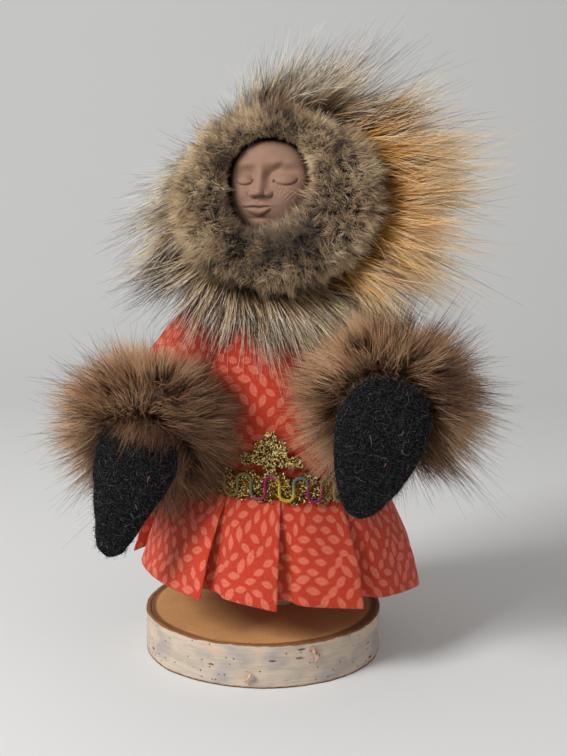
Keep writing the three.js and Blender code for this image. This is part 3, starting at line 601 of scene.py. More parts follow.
def map_sheet(bm, across, down):
    """Lays the print flat on a lofted skin. across has one place more than there are columns."""
    layer = bm.loops.layers.uv.new(PRINT_MAP)
    column = bm.verts.layers.int["column"]
    row = bm.verts.layers.int["row"]
    last = len(across) - 2
    for face in bm.faces:
        columns = [loop.vert[column] for loop in face.loops]
        wraps = max(columns) == last and min(columns) == 0
        for loop, index in zip(face.loops, columns):
            place = last + 1 if wraps and index == 0 else index
            loop[layer].uv = (across[place], down[loop.vert[row]])


def map_round(bm, radius):
    """Lays the print around an upright body, measured along a middle radius."""
    layer = bm.loops.layers.uv.new(PRINT_MAP)
    for face in bm.faces:
        centre = face.calc_center_median()
        middle = math.atan2(centre.y, centre.x)
        for loop in face.loops:
            place = loop.vert.co
            angle = math.atan2(place.y, place.x)
            angle += TURN * round((middle - angle) / TURN)
            loop[layer].uv = (angle * radius, place.z)


def has_room(point):
    """Whether the end of a hair keeps to the room that the frame leaves for fur."""
    limits = zip(point, *CAD_BOX, FUR_ROOM)
    return all(low - room < value < high + room for value, low, high, room in limits)


def grow(name, strands, finish, body):
    """Hairs as slim three-sided spikes. A strand is its points from root to tip, thickness and tone."""
    strands = [strand for strand in strands if has_room(strand[0][-1])]
    bm = bmesh.new()
    strand_of = bm.faces.layers.int.new("strand")
    corner = bm.verts.layers.int.new("corner")
    level_of = bm.verts.layers.int.new("level")
    sides = []
    for index, (path, thickness, _) in enumerate(strands):
        along = path[1] - path[0]
        first = along.orthogonal().normalized() * thickness / 2
        second = along.normalized().cross(first) * 0.866
        ring = (first, second - first / 2, -second - first / 2)
        sides.append(ring)
        verts = [bm.verts.new(path[0] + side) for side in ring]
        for place, vert in enumerate(verts):
            vert[corner] = place
        bm.faces.new(verts)[strand_of] = index
    levels = len(strands[0][0]) - 1
    caps = list(bm.faces)
    for level in range(1, levels + 1):
        caps = bmesh.ops.extrude_discrete_faces(bm, faces=caps)["faces"]
        taper = 1 - 0.85 * (level / levels) ** 1.5
        for cap in caps:
            index = cap[strand_of]
            middle = strands[index][0][level]
            for vert in cap.verts:
                vert.co = middle + sides[index][vert[corner]] * taper
                vert[level_of] = level
    roots = [edge for edge in bm.edges if edge.is_boundary]
    bmesh.ops.holes_fill(bm, edges=roots, sides=3)
    bmesh.ops.recalc_face_normals(bm, faces=bm.faces)
    layer = bm.loops.layers.uv.new(HAIR_MAP)
    for face in bm.faces:
        left = (strands[face[strand_of]][2] + 0.35) / HAIR_TONES
        ends = len(face.verts) == 3
        for loop in face.loops:
            vert = loop.vert
            height = HAIR_REACH * (0.03 + 0.94 * vert[level_of] / levels)
            if ends and vert[corner] == 2:
                height += HAIR_STRIP
            loop[layer].uv = (left + HAIR_STRIP * vert[corner], height)
    return new_piece(name, bm, finish, body)


def hair(root, aim, reach, bend, steps, aside=Vector(), gather=0.0):
    """Points along a hair that leaves its root along aim, bends as it grows and leans in from aside."""
    path = []
    for step in range(steps + 1):
        share = step / steps
        grown = aim * (reach * share) + bend * (reach * share * share)
        path.append(root + grown + aside * (1 - gather * share))
    return path


class Lock:
    """The hairs of one lock: how many, how wide apart, how far their tips lean together, and how thick."""

    def __init__(self, hairs, spread, gather, steps, thinnest, thickest):
        self.hairs = hairs
        self.spread = spread * MM
        self.gather = gather
        self.steps = steps
        self.thinnest = thinnest * MM
        self.thickest = thickest * MM

    def grown(self, chance, root, aim, reach, bend, coat, place):
        """The strands of one lock. place takes each point to where the piece stands."""
        strands = []
        for _ in range(self.hairs):
            aside = scatter(chance, self.spread)
            aside -= aim * aside.dot(aim)
            own_bend = bend + scatter(chance, 0.1)
            own_reach = reach * chance.uniform(0.72, 1.08)
            path = hair(root, aim, own_reach, own_bend, self.steps, aside, self.gather)
            tone = coat * COAT_TONES + chance.randrange(COAT_TONES)
            thickness = chance.uniform(self.thinnest, self.thickest)
            strands.append(([place @ point for point in path], thickness, tone))
        return strands


def scatter(chance, spread):
    """A small random push in any direction."""
    return Vector((chance.gauss(0, spread), chance.gauss(0, spread), chance.gauss(0, spread)))


def thinned(number):
    """The number of hairs, as it is."""
    return number


def drift(point, size):
    """A direction that changes smoothly from place to place, over about a size."""
    place = point / size
    return Vector((noise.noise(place), noise.noise(place + UP * 9.3), noise.noise(place + UP * 17.7)))


def facing(angle, middle, focus):
    """1 where an angle meets a middle, and 0 from a quarter turn away. A higher focus falls off faster."""
    return max(0, math.cos(angle - middle)) ** focus


def away(point):
    """The level direction from the doll's upright axis to a point."""
    return Vector((point.x - DOLL.x, point.y, 0)).normalized()


def body_radius(height):
    """Radius of the stuffed body at a height."""
    share = min(max((height - WAIST_HEIGHT) / (NECK_HEIGHT - WAIST_HEIGHT), 0), 1)
    return NECK_RADIUS + (WAIST_RADIUS - NECK_RADIUS) * (1 - share**SHOULDER_SWELL) ** SHOULDER_ROUND


def on_waist(angle, radius, height):
    """A point around the sloping waist."""
    x = math.cos(angle) * radius
    return DOLL + Vector((x, math.sin(angle) * radius * BODY_DEPTH, height - x * WAIST_SLOPE))


class Arm:
    """Where an arm runs from its root in the body to the wrist, and how its mitten hangs."""

    # From the shoulder: how far in and up the arm's line begins, how far out it bends, and its reach
    ROOT_IN = 8 * MM
    ROOT_UP = 2 * MM
    BEND_OUT = 6 * MM
    REACH = 32.4 * MM
    # From the wrist: how far on and up the mitten's pivot is, and how far back the cuff
    PIVOT_ON = 9.4 * MM
    PIVOT_UP = 3 * MM
    CUFF_BACK = 4 * MM

    def __init__(self, name, side, swing, spread, hand_swing, hand_spread, skew, width, fullness):
        self.name = name
        self.side = side
        self.skew = skew * MM
        self.width = width * MM
        self.fullness = fullness
        out = Vector((side, 0, 0))
        shoulder = Vector((side * body_radius(SHOULDER_HEIGHT), 0, SHOULDER_HEIGHT))
        self.root = shoulder - out * self.ROOT_IN + UP * self.ROOT_UP
        self.bend = shoulder + out * self.BEND_OUT
        self.wrist = shoulder + self.aimed(swing, spread) * self.REACH
        self.along = (self.wrist - self.bend).normalized()
        self.hand = self.aimed(hand_swing, hand_spread)
        self.pivot = self.wrist + self.along * self.PIVOT_ON + UP * self.PIVOT_UP
        self.cuff = self.wrist - self.along * self.CUFF_BACK
        for point in (self.root, self.bend, self.wrist, self.pivot, self.cuff):
            point += DOLL

    def aimed(self, swing, spread):
        """A direction so many degrees forward of hanging and outward."""
        forward, outward = math.radians(swing), math.radians(spread)
        hang = math.cos(outward)
        return Vector((self.side * math.sin(outward), -hang * math.sin(forward), -hang * math.cos(forward)))

    def palm(self):
        """The way that the mitten faces, and the way across it."""
        face = (FRONT - self.hand * FRONT.dot(self.hand)).normalized()
        return face, self.hand.cross(face)

    def in_mitten(self, point):
        """Whether a point lies within the felt."""
        face, across = self.palm()
        offset = point - self.pivot
        down = offset.dot(self.hand) + MITTEN_RISE
        is_across = abs(offset.dot(across)) < self.width / 2
        return 0 < down < MITTEN_LENGTH and is_across and abs(offset.dot(face)) < MITTEN_THICKNESS / 2

    def at(self, share):
        """A point of the arm and the way that it runs there."""
        back = 1 - share
        point = self.root * back**2 + self.bend * (2 * back * share) + self.wrist * share**2
        along = (self.bend - self.root) * back + (self.wrist - self.bend) * share
        return point, along.normalized()


# Swings and spreads in degrees, the mittens' skew and width in millimetres
ARMS = (
    Arm("right", -1, swing=52, spread=20, hand_swing=4, hand_spread=17, skew=0, width=20, fullness=1.3),
    Arm("left", 1, swing=72, spread=7, hand_swing=-3, hand_spread=-8, skew=2.5, width=22, fullness=1.9),
)


class DOLL_OT_stage(bpy.types.Operator):
    """Set the pale floor, the soft light and the camera"""

    bl_idname = "doll.stage"
    bl_label = "Stage"

    # The sweep in metres: half its width, where it starts to curve, how round it curves and how high it ends
    SWEEP_HALF = 1.5
    CURVE_START = 0.35
    CURVE_RADIUS = 0.4
    CURVE_STEPS = 8
    SWEEP_TOP = 1.6
    # The lamps in metres: where they hang, how wide they are and what they face
    KEY_PLACE = (-0.54, -0.44, 0.53)
    KEY_SIZE = 0.28
    FILL_PLACE = (0.5, -0.35, 0.4)
    FILL_SIZE = 0.6
    LIT_POINT = Vector((0, 0, 0.08))
    ROOM_COLOUR = (1, 0.99, 0.98, 1)
    ROOM_LIGHT = 0.42
    # Where the camera stands, how it is tilted and how near it sees
    CAMERA_PLACE = (0.0055, -0.296, 0.1225)
    CAMERA_TILT = math.radians(80.5)
    NEAREST = 0.01

    def execute(self, context):
        stage = context.scene.doll_stage
        scene = context.scene
        scene.view_settings.view_transform = "Standard"
        self.sweep(stage)
        self.light("key lamp", stage.key, self.KEY_PLACE, self.KEY_SIZE)
        self.light("fill lamp", stage.fill, self.FILL_PLACE, self.FILL_SIZE)
        world = bpy.data.worlds.new("soft room")
        world.use_nodes = True
        room = world.node_tree.nodes["Background"].inputs
        room["Color"].default_value = self.ROOM_COLOUR
        room["Strength"].default_value = self.ROOM_LIGHT
        scene.world = world
        data = bpy.data.cameras.new("camera")
        data.lens = stage.lens
        data.clip_start = self.NEAREST
        camera = bpy.data.objects.new("camera", data)
        camera.location = self.CAMERA_PLACE
        camera.rotation_euler = (self.CAMERA_TILT, 0, 0)
        scene.collection.objects.link(camera)
        scene.camera = camera
        return {"FINISHED"}

    def sweep(self, stage):
        """A floor that curves up into a backdrop."""
        finish = Finish("pale sweep", {"Roughness": 0.9, "Specular IOR Level": 0.1})
        shade = finish.scaled(finish.noise(finish.place(), 0.4, 1), 0.03, 0.985)
        finish.paint(finish.tint(shade, stage.floor))
        left, radius = -self.SWEEP_HALF, self.CURVE_RADIUS
        profile = [Vector((left, left, 0)), Vector((left, self.CURVE_START, 0))]
        for step in range(1, self.CURVE_STEPS + 1):
            angle = step / self.CURVE_STEPS * math.pi / 2
            back = self.CURVE_START + radius * math.sin(angle)
            profile.append(Vector((left, back, radius - radius * math.cos(angle))))
        profile.append(Vector((left, self.CURVE_START + radius, self.SWEEP_TOP)))
        far = [point + Vector((2 * self.SWEEP_HALF, 0, 0)) for point in profile]
        bm = lofted([profile, far], closed=False, filled=False)
        floor = new_object("floor", bm, finish.material)

    def light(self, name, power, place, size):
        """A square lamp that faces the doll."""
        data = bpy.data.lights.new(name, "AREA")
        data.energy = power
        data.size = size
        lamp = bpy.data.objects.new(name, data)
        lamp.location = place
        aim = self.LIT_POINT - lamp.location
        lamp.rotation_euler = aim.to_track_quat("-Z", "Y").to_euler()
        bpy.context.scene.collection.objects.link(lamp)


class DOLL_OT_birch(bpy.types.Operator):
    """Make the birch slice and the bark around it"""

    bl_idname = "doll.birch"
    bl_label = "Birch Slice"

    WOOD_SIDES = 144
    TOP_RINGS = 12
    WOOD_EDGE = 0.12 * MM
    # How far the sanded top lies below the slice's height, and how uneven it is
    TOP_DOWN = 0.1 * MM
    TOP_UNEVEN = 0.12 * MM
    BARK_SIDES = 220
    BARK_ROWS = 14
    # Waves of the trunk's outline: how deep in millimetres, how many around and where they begin
    WAVES = ((0.45, 2, 0.7), (0.225, 3, 2))
    # Slivers of bark: where around in degrees, then how high, how tall and how far they lean in millimetres
    FLAKES = ((-66, 8.2, 4.6, 0.5), (-97, 3.2, 3.4, -0.7))
    FLAKE_ROWS = 14
    FLAKE_WIDTH = 1.1 * MM
    FLAKE_THICKNESS = 0.2 * MM

    def wave(self, bm, radius):
        """Makes a round piece a little uneven, as a trunk is."""
        for vert in bm.verts:
            angle = math.atan2(vert.co.y, vert.co.x)
            grown = sum(deep * math.cos(number * angle + start) for deep, number, start in self.WAVES)
            distance = math.hypot(vert.co.x, vert.co.y)
            share = grown * MM * distance / radius
            if distance:
                vert.co.x += math.cos(angle) * share
                vert.co.y += math.sin(angle) * share

    def execute(self, context):
        birch = context.scene.doll_birch
        self.wood(birch, birch.radius - birch.bark)
        self.paper(birch, birch.radius - birch.bark)
        self.flakes(birch)
        return {"FINISHED"}

    def wood(self, birch, inner):
        """The slice inside its bark, with an uneven sanded top."""
        edge = self.WOOD_EDGE
        rings = self.TOP_RINGS
        top = [(ring * (inner - edge) / rings, birch.height) for ring in range(rings, -1, -1)]
        profile = [(0, 0), (inner - edge, 0), (inner, edge), (inner, birch.height - edge), *top]
        wood = spun(profile, self.WOOD_SIDES)
        self.wave(wood, birch.radius)
        for vert in wood.verts:
            if vert.co.z > birch.height - self.TOP_DOWN:
                vert.co.z += self.TOP_UNEVEN * noise.noise(vert.co * 160) - self.TOP_DOWN
        piece = new_piece("birch_end_grain", wood, birch_end(birch), "stand")
        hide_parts("birch_slice")

    def paper(self, birch, inner):
        """The ring of bark, rough outside and frayed along its cut edge."""
        rows = self.BARK_ROWS
        wall = [(birch.radius, birch.height * row / rows) for row in range(rows + 1)]
        lip = [(inner + 0.3 * MM, birch.height), (inner, birch.height - 0.2 * MM)]
        bark = spun([(inner, 0), *wall, *lip, (inner, 0)], self.BARK_SIDES)
        map_round(bark, birch.radius)
        self.wave(bark, birch.radius)
        for vert in bark.verts:
            out = Vector((vert.co.x, vert.co.y, 0)).normalized()
            place = Vector((vert.co.x, vert.co.y, vert.co.z * 3))
            is_wall = math.hypot(vert.co.x, vert.co.y) > inner + 0.8 * MM
            if is_wall:
                rough = 0.3 * noise.noise(place * 140) + 0.12 * noise.noise(place * 600)
                vert.co += out * rough * MM
                vert.co -= out * 0.25 * MM
            if vert.co.z > birch.height - 0.5 * MM:
                vert.co.z += 0.25 * noise.noise(place * 400) * MM - 0.1 * MM
        piece = new_piece("birch_paper", bark, birch_paper(birch), "stand")
        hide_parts("birch_bark")

    def flakes(self, birch):
        """The slivers that peel off the bark."""
        finish = Finish("peeled bark", {"Roughness": 0.75})
        grain = finish.noise(finish.place((1, 1, 0.3)), 0.5 * MM, 3)
        finish.paint(finish.ramp(grain, [(0.35, srgb(150, 106, 82)), (0.65, srgb(206, 172, 148))]))
        for number, (angle, height, tall, lean) in enumerate(self.FLAKES, 1):
            bm = self.flake(birch, math.radians(angle), height * MM, tall * MM, lean * MM)
            new_piece(f"bark_flake_{number}", bm, finish.material, "stand")

    def flake(self, birch, angle, height, tall, lean):
        """A sliver of bark that peels away along a split and shows its brown inside."""
        rings = []
        for row in range(self.FLAKE_ROWS + 1):
            share = row / self.FLAKE_ROWS
            belly = math.sin(share * math.pi) ** 0.7
            z = height + (share - 0.5) * tall
            ragged = noise.noise(Vector((share * 9, height * 900, 0)))
            aside = lean * math.sin(share * TURN) + 0.12 * MM * ragged
            ring = []
            for part in (0, 0.4, 0.75, 1):
                radius = birch.radius + (0.1 + 0.75 * belly * math.sin(part * 2.2)) * MM
                turn = angle + (aside + part * belly * self.FLAKE_WIDTH) / birch.radius
                ring.append(Vector((math.cos(turn) * radius, math.sin(turn) * radius, z)))
            rings.append(ring)
        bm = welded(lofted(rings, closed=False, filled=False))
        bmesh.ops.solidify(bm, geom=bm.faces, thickness=self.FLAKE_THICKNESS)
        return bm


class DOLL_OT_frame_finishes(bpy.types.Operator):
    """Give the dowel and the wires of the frame their finishes"""

    bl_idname = "doll.frame_finishes"
    bl_label = "Dowel and Wires"

    def execute(self, context):
        wood = plain_wood()
        wire = drawn_wire()
        for name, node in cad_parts.items():
            if name == "support_dowel" or name.endswith("wire"):
                node.data.materials.clear()
                node.data.materials.append(wood if name == "support_dowel" else wire)
        return {"FINISHED"}


class DOLL_OT_body(bpy.types.Operator):
    """Make the stuffed bodice and the hood"""

    bl_idname = "doll.body"
    bl_label = "Bodice and Hood"

    SIDES = 72
    BODICE_ROWS = 26
    BODICE_EDGE = 1.5 * MM
    # The hood's bag in millimetres: its neck, the ball above it, and how far that reaches aside, up and down
    NECK_FLOOR = 97.5
    NECK_WIDE = 9.3
    BALL_NECK = 9.5
    BALL_WIDE = 18
    BALL_RISE = 19
    BALL_DROP = 22.7
    BALL_ROWS = 22
    # Where the hood is cut flat behind the face, and how far back its lining shows. The lining is near black,
    # as painted shade behind the face.
    HOOD_FRONT = -10.6 * MM
    LINING = 2.5 * MM
    SEAM_WIDTH = 1.1 * MM
    SEAM_DEPTH = 0.5 * MM

    def crumple(self, bm, depth):
        """Soft dents and creases of cloth over stuffing."""
        bm.normal_update()
        for vert in bm.verts:
            place = Vector((vert.co.x, vert.co.y, vert.co.z * 0.5))
            dent = noise.noise(place * 110) + 0.5 * noise.noise(place * 260)
            vert.co += vert.normal * (depth * dent)

    def execute(self, context):
        cotton = printed_cotton(context.scene.doll_parka)
        self.bodice(cotton)
        self.hood(cotton)
        return {"FINISHED"}

    def bodice(self, cotton):
        """The stuffed body from under the waist to the neck."""
        edge = self.BODICE_EDGE
        profile = [(0, BODY_BOTTOM), (WAIST_RADIUS - edge, BODY_BOTTOM), (WAIST_RADIUS, BODY_BOTTOM + edge)]
        for row in range(self.BODICE_ROWS + 1):
            share = math.sin(row / self.BODICE_ROWS * math.pi / 2)
            height = WAIST_HEIGHT + (NECK_HEIGHT - WAIST_HEIGHT) * share
            profile.append((body_radius(height) - 0.2 * MM, height))
        profile.append((0, NECK_HEIGHT + 0.1 * MM))
        bodice = spun(profile, self.SIDES)
        map_round(bodice, WAIST_RADIUS * 0.9)
        bodice.transform(TO_DOLL @ Matrix.Diagonal((1, BODY_DEPTH, 1, 1)))
        self.crumple(bodice, 0.45 * MM)
        piece = new_piece("bodice", bodice, cotton, "stand")
        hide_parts("parka_bodice", "torso_padding")

    def hood(self, cotton):
        """The bag behind the face, with a seam down its back and a near black lining at its front, painted as
        the shade behind the face.
        """
        profile = [(0, self.NECK_FLOOR * MM), (self.NECK_WIDE * MM, self.NECK_FLOOR * MM)]
        start = -math.acos(self.BALL_NECK / self.BALL_WIDE)
        for row in range(1, self.BALL_ROWS + 1):
            angle = start + (math.pi / 2 - start) * row / self.BALL_ROWS
            rise = math.sin(angle) * (self.BALL_RISE if angle > 0 else self.BALL_DROP / math.sin(-start))
            profile.append((max(self.BALL_WIDE * math.cos(angle), 0) * MM, HEAD_HEIGHT + rise * MM))
        hood = spun(profile, self.SIDES)
        map_round(hood, 15 * MM)
        for vert in hood.verts:
            seam = math.exp(-((vert.co.x / self.SEAM_WIDTH) ** 2)) if vert.co.y > 0 else 0
            out = Vector((vert.co.x, vert.co.y, (vert.co.z - HEAD_HEIGHT) * 0.8)).normalized()
            vert.co -= out * seam * self.SEAM_DEPTH
            vert.co.y = max(vert.co.y, self.HOOD_FRONT)
        for face in hood.faces:
            if face.calc_center_median().y < self.HOOD_FRONT + self.LINING:
                face.material_index = 1
        self.crumple(hood, 0.4 * MM)
        hood.transform(TO_HEAD)
        piece = new_piece("hood_bag", hood, cotton, "head")
        # The near black lining is painted shade in the gap behind the face.
        piece.data.materials.append(hide("hood lining", srgb(24, 20, 18), srgb(62, 50, 42), 1.5 * MM))
        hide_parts("hood", "head_padding")


class DOLL_OT_sleeves(bpy.types.Operator):
    """Make the two sleeves over their stuffing"""

    bl_idname = "doll.sleeves"
    bl_label = "Sleeves"

    ROWS = 26
    SIDES = 44
    # In millimetres: radius, how much it narrows to the wrist and how much fuller the shoulder is
    RADIUS = 9.6
    NARROWING = 2
    FULLNESS = 5.0
    FOLD_DEPTH = 0.7 * MM
    INSET = 0.3 * MM
    # Girth and length of the cloth that the print is laid on
    GIRTH = TURN * 8.6 * MM
    LENGTH = 42 * MM

    def execute(self, context):
        cotton = printed_cotton(context.scene.doll_parka)
        rows, sides = self.ROWS, self.SIDES
        for arm in ARMS:
            rings = []
            for row in range(rows + 1):
                share = row / rows
                point, along = arm.at(share)
                normal = (UP - along * UP.dot(along)).normalized()
                across = along.cross(normal)
                ring = []
                for side in range(sides):
                    angle = side / sides * TURN
                    aim = normal * math.cos(angle) + across * math.sin(angle)
                    radius = (self.RADIUS - self.NARROWING * share + self.FULLNESS * (1 - share) ** 2) * MM
                    place = point + aim * radius
                    fold = noise.noise(Vector((place.x * 90, place.y * 90, place.z * 220)))
                    ring.append(place + aim * (self.FOLD_DEPTH * fold - self.INSET))
                rings.append(ring)
            bm = lofted(rings)
            across = [self.GIRTH * side / sides for side in range(sides + 1)]
            map_sheet(bm, across, [self.LENGTH * row / rows for row in range(rows + 1)])
            piece = new_piece(f"{arm.name}_stuffed_sleeve", bm, cotton, f"{arm.name}_arm")
            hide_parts(f"{arm.name}_sleeve", f"{arm.name}_arm_padding")
        return {"FINISHED"}


class DOLL_OT_skirt(bpy.types.Operator):
    """Make the knife-pleated skirt"""

    bl_idname = "doll.skirt"
    bl_label = "Pleated Skirt"

    # A pleat as shares of its width around the skirt and of its depth: the panel, its edge and the fold under
    PANEL = (
        (-0.3, -0.2),
        (-0.12, -0.24),
        (0.03, -0.18),
        (0.09, 0.18),
        (0.15, 0.38),
        (0.4, 0.56),
        (0.62, 0.74),
        (0.78, 0.92),
        (0.845, 1.0),
    )
    FOLD = ((0.86, 0.985), (0.845, 0.88), (0.79, 0.45), (0.72, -0.05))
    # Where around the skirt the pleats' edges lie, in degrees from the front toward the doll's left
    EDGES = (-95, -28, 0.5, 34, 76, 103, 130, 157, 184, 211, 238, 265)
    ROWS = 18
    # The share of the drop that the braid holds flat, how far out the waist is and how high the cloth begins
    BAND = 0.19
    WAIST_REACH = 27.1 * MM
    TOP = WAIST_HEIGHT + 1.5 * MM
    # How uneven the hem is, and which of many uneven hems is taken
    UNEVEN = 0.5 * MM
    CHANCE = 4.7
    # How much longer the cloth is than its drop
    SLOPE = 1.06

    def point(self, parka, turn, rise, drop):
        """A point of the skirt at a turn, a share of the pleat's depth and a share of the drop."""
        free = max(0, drop - self.BAND) / (1 - self.BAND)
        opened = 0.1 + 0.9 * min(1, free * 1.6)
        reach = self.WAIST_REACH + parka.flare * free**0.75 + parka.pleat_depth * rise * opened
        reach += self.UNEVEN * free * noise.noise(Vector((turn * 3, drop * 2, self.CHANCE)))
        sag = (1.3 * rise - 0.4) * free * MM
        return on_waist(turn, reach, self.TOP - parka.drop * drop - sag) - Vector((free * MM, 0, 0))

    def execute(self, context):
        parka = context.scene.doll_parka
        rows = self.ROWS
        last = self.FOLD[0][0]
        corners = []
        for before, edge in zip(self.EDGES, self.EDGES[1:]):
            for part, rise in self.PANEL + self.FOLD:
                corners.append((math.radians(edge - 90 + (part - last) * (edge - before)), rise))
        rings = []
        for row in range(rows + 1):
            rings.append([self.point(parka, turn, rise, row / rows) for turn, rise in corners])
        bm = lofted(rings, filled=False)
        hem = rings[-1]
        across = [0]
        for here, after in zip(hem, hem[1:] + hem[:1]):
            across.append(across[-1] + (after - here).length)
        map_sheet(bm, across, [-parka.drop * row / rows for row in range(rows + 1)])
        area = sum(face.calc_area() for face in bm.faces)
        piece = new_piece("pleated_skirt", bm, printed_cotton(parka), "stand")
        wall = piece.modifiers.new("Cloth", "SOLIDIFY")
        wall.thickness = parka.cloth
        wall.offset = 0
        smoother(piece, 1)
        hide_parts("parka_skirt")
        return {"FINISHED"}


class DOLL_OT_trim(bpy.types.Operator):
    """Make the metallic braid and the ornament above it"""

    bl_idname = "doll.trim"
    bl_label = "Gold Trim"

    # Radii around the waist: the braid's ground, the roots of its yarn, and the cord
    GROUND_RADIUS = 28.2 * MM
    YARN_RADIUS = 28.6 * MM
    CORD_RADIUS = 29.2 * MM
    GROUND_COLUMNS = 340
    GROUND_ROWS = 8
    # The edges of the ground and of the yarn: how far below, and how deep the scallops bite below and above
    GROUND_EDGES = (0.3 * MM, 1.1 * MM, 1.1 * MM)
    YARN_EDGES = (0.5 * MM, 1.0 * MM, 0.9 * MM)
    # How many loops of cord each take a dye of their own before the dyes repeat
    DYES = 5
    CORD_STEPS = 28
    CORD_SIDES = 8
    # The radius at which the cord's loops are spaced, how much less tall than the braid and how far down
    SPACING_RADIUS = 28.3 * MM
    CORD_MARGIN = 1.5 * MM
    CORD_DOWN = 0.2 * MM
    # Tiers of the ornament in millimetres: half widths of foot and top, how high, how tall, and their loops.
    # The last tier is the loop that links the others to the braid.
    TIERS = (
        (8.1, 7.6, 1.3, 2.7, 6),
        (4.3, 3.4, 4.0, 3.4, 4),
        (1.7, 1.1, 7.2, 2.4, 2),
        (1.5, 1.3, -1.2, 2.8, 1),
    )
    # Where around the body the ornament's middle lies
    MIDDLE = -math.pi / 2 - 2.2 * MM / WAIST_RADIUS
    LOOP_STEPS = 20
    LOOP_SHARE = 0.85
    LOOP_OUT = 1.1 * MM
    LOOP_RADIUS = 0.3 * MM
    CURLS_OUT = 1.2 * MM
    CURLS_PER_AREA = 9

    def execute(self, context):
        trim = context.scene.doll_trim
        gold = metallic_yarn(trim)
        self.band(trim, gold)
        self.cord(trim)
        self.ornament(trim, gold)
        return {"FINISHED"}

    def edges(self, trim, angle, below, low_bite, high_bite):
        """The heights of the braid's two scalloped edges at an angle, from its middle."""
        wave = 0.5 + 0.5 * math.cos(angle * trim.loops)
        low = -trim.height / 2 - below + low_bite * (1 - wave)
        return low, trim.height / 2 - high_bite * wave

    def band(self, trim, gold):
        """The ground of the braid, with its scalloped edges and curls of yarn."""
        columns, rows = self.GROUND_COLUMNS, self.GROUND_ROWS
        rings = []
        for row in range(rows + 1):
            ring = []
            for column in range(columns):
                angle = column / columns * TURN
                low, high = self.edges(trim, angle, *self.GROUND_EDGES)
                height = WAIST_HEIGHT + low + (high - low) * row / rows
                bulge = 0.5 * MM * math.sin(row / rows * math.pi)
                ring.append(on_waist(angle, self.GROUND_RADIUS + bulge, height))
            rings.append(ring)
        bm = lofted(rings, filled=False)
        bmesh.ops.solidify(bm, geom=bm.faces, thickness=0.5 * MM)
        piece = new_piece("braid_ground", bm, gold, "stand")
        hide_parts("waist_braid")
        chance = random.Random(21)
        strands = []
        for _ in range(thinned(trim.tinsel)):
            angle = chance.uniform(0, TURN)
            height = WAIST_HEIGHT + chance.uniform(*self.edges(trim, angle, *self.YARN_EDGES))
            strands.append(self.curl(on_waist(angle, self.YARN_RADIUS, height), chance))
        self.tinsel("braid_tinsel", strands, trim)

    def curl(self, root, chance):
        """A short loop of yarn that lies on the braid."""
        out = away(root)
        turn = chance.uniform(0, TURN)
        across = out.cross(UP) * math.cos(turn) + UP * math.sin(turn)
        reach = chance.uniform(0.45, 1.0) * MM
        lift = chance.uniform(0.1, 0.8) * MM
        path = []
        for step in range(4):
            share = step / 3
            rise = math.sin(share * math.pi) * lift
            path.append(root + across * reach * (share - 0.5) + out * rise)
        coat = chance.choices(range(4), (3, 4, 5, 4))[0]
        return path, chance.uniform(0.2, 0.4) * MM, coat * COAT_TONES + chance.randrange(COAT_TONES)

    def tinsel(self, name, strands, trim):
        """Curls of yarn, each brighter or darker than the next, with painted glints and painted shade."""
        # The dark and brown tones are painted shade on the curls, and the pale tone is a painted glint.
        dark = srgb(44, 26, 8)
        brown = srgb(110, 66, 14)
        pale = srgb(255, 246, 190)
        coats = [
            [(0, dark), (0.5, trim.gold), (1, dark)],
            [(0, dark), (1, brown)],
            [(0, trim.gold), (0.5, pale), (1, trim.gold)],
            [(0, pale), (1, trim.gold)],
        ]
        finish = hair_finish(name.replace("_", " "), coats, {"Metallic": 0.3, "Roughness": 0.25}, 0.9)
        return grow(name, strands, finish, "stand")

    def cord(self, trim):
        """The coloured cord that wanders up and down the braid."""
        loops, per_loop, sides = trim.loops, self.CORD_STEPS, self.CORD_SIDES
        steps = loops * per_loop
        loop_length = TURN * self.SPACING_RADIUS / loops
        bow = loop_length / 4
        upright = trim.height - self.CORD_MARGIN - 2 * bow
        half_way = upright + math.pi * bow
        path = []
        for step in range(steps):
            loop, part = divmod(step, per_loop)
            half, share = divmod(2 * part / per_loop, 1)
            gone = share * half_way
            swing = max(0, gone - upright) / bow
            aside = bow * (1 - math.cos(swing)) + 2 * bow * half
            rise = min(gone, upright) - upright / 2 + bow * math.sin(swing)
            angle = (loop + aside / loop_length) / loops * TURN
            height = WAIST_HEIGHT - self.CORD_DOWN + (rise if half == 0 else -rise)
            path.append(on_waist(angle, self.CORD_RADIUS, height))
        rings = []
        for index, point in enumerate(path):
            along = (path[(index + 1) % steps] - path[index - 1]).normalized()
            side = along.cross(away(point)).normalized()
            rings.append(section(point, side.cross(along), side, trim.cord / 2, sides))
        rings.append(rings[0])
        bm = lofted(rings, filled=False)
        across = [corner / sides for corner in range(sides + 1)]
        map_sheet(bm, across, [loops * row / steps / self.DYES for row in range(steps + 1)])
        layer = bm.loops.layers.uv[PRINT_MAP]
        for face in bm.faces:
            for loop in face.loops:
                around, along = loop[layer].uv
                loop[layer].uv = (along, around)
        new_piece("braid_cord", welded(bm), variegated_cord(), "stand")

    def ornament(self, trim, gold):
        """Three tiers of looped yarn that narrow upward, and the loop that links them to the braid."""
        chance = random.Random(33)
        strands = []
        bottom = WAIST_HEIGHT + trim.height / 2
        number = 0
        for half, top, low, tall, loops in self.TIERS:
            for loop in range(loops):
                number += 1
                aside = (2 * (loop + 0.5) / loops - 1) * half
                form = (aside * MM, bottom + low * MM, top / loops * MM, tall * MM)
                new_piece(f"ornament_loop_{number}", self.loop(*form), gold, "stand")
            for _ in range(thinned(int((half + top) * tall * self.CURLS_PER_AREA))):
                rise = chance.random()
                edge = half + (top - half) * rise
                aside = chance.uniform(-edge, edge) * MM
                height = bottom + (low + rise * tall) * MM
                radius = body_radius(height) + self.CURLS_OUT
                root = on_waist(self.MIDDLE + aside / radius, radius, height)
                strands.append(self.curl(root, chance))
        piece = self.tinsel("ornament_tinsel", strands, trim)
        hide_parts("front_ornament")

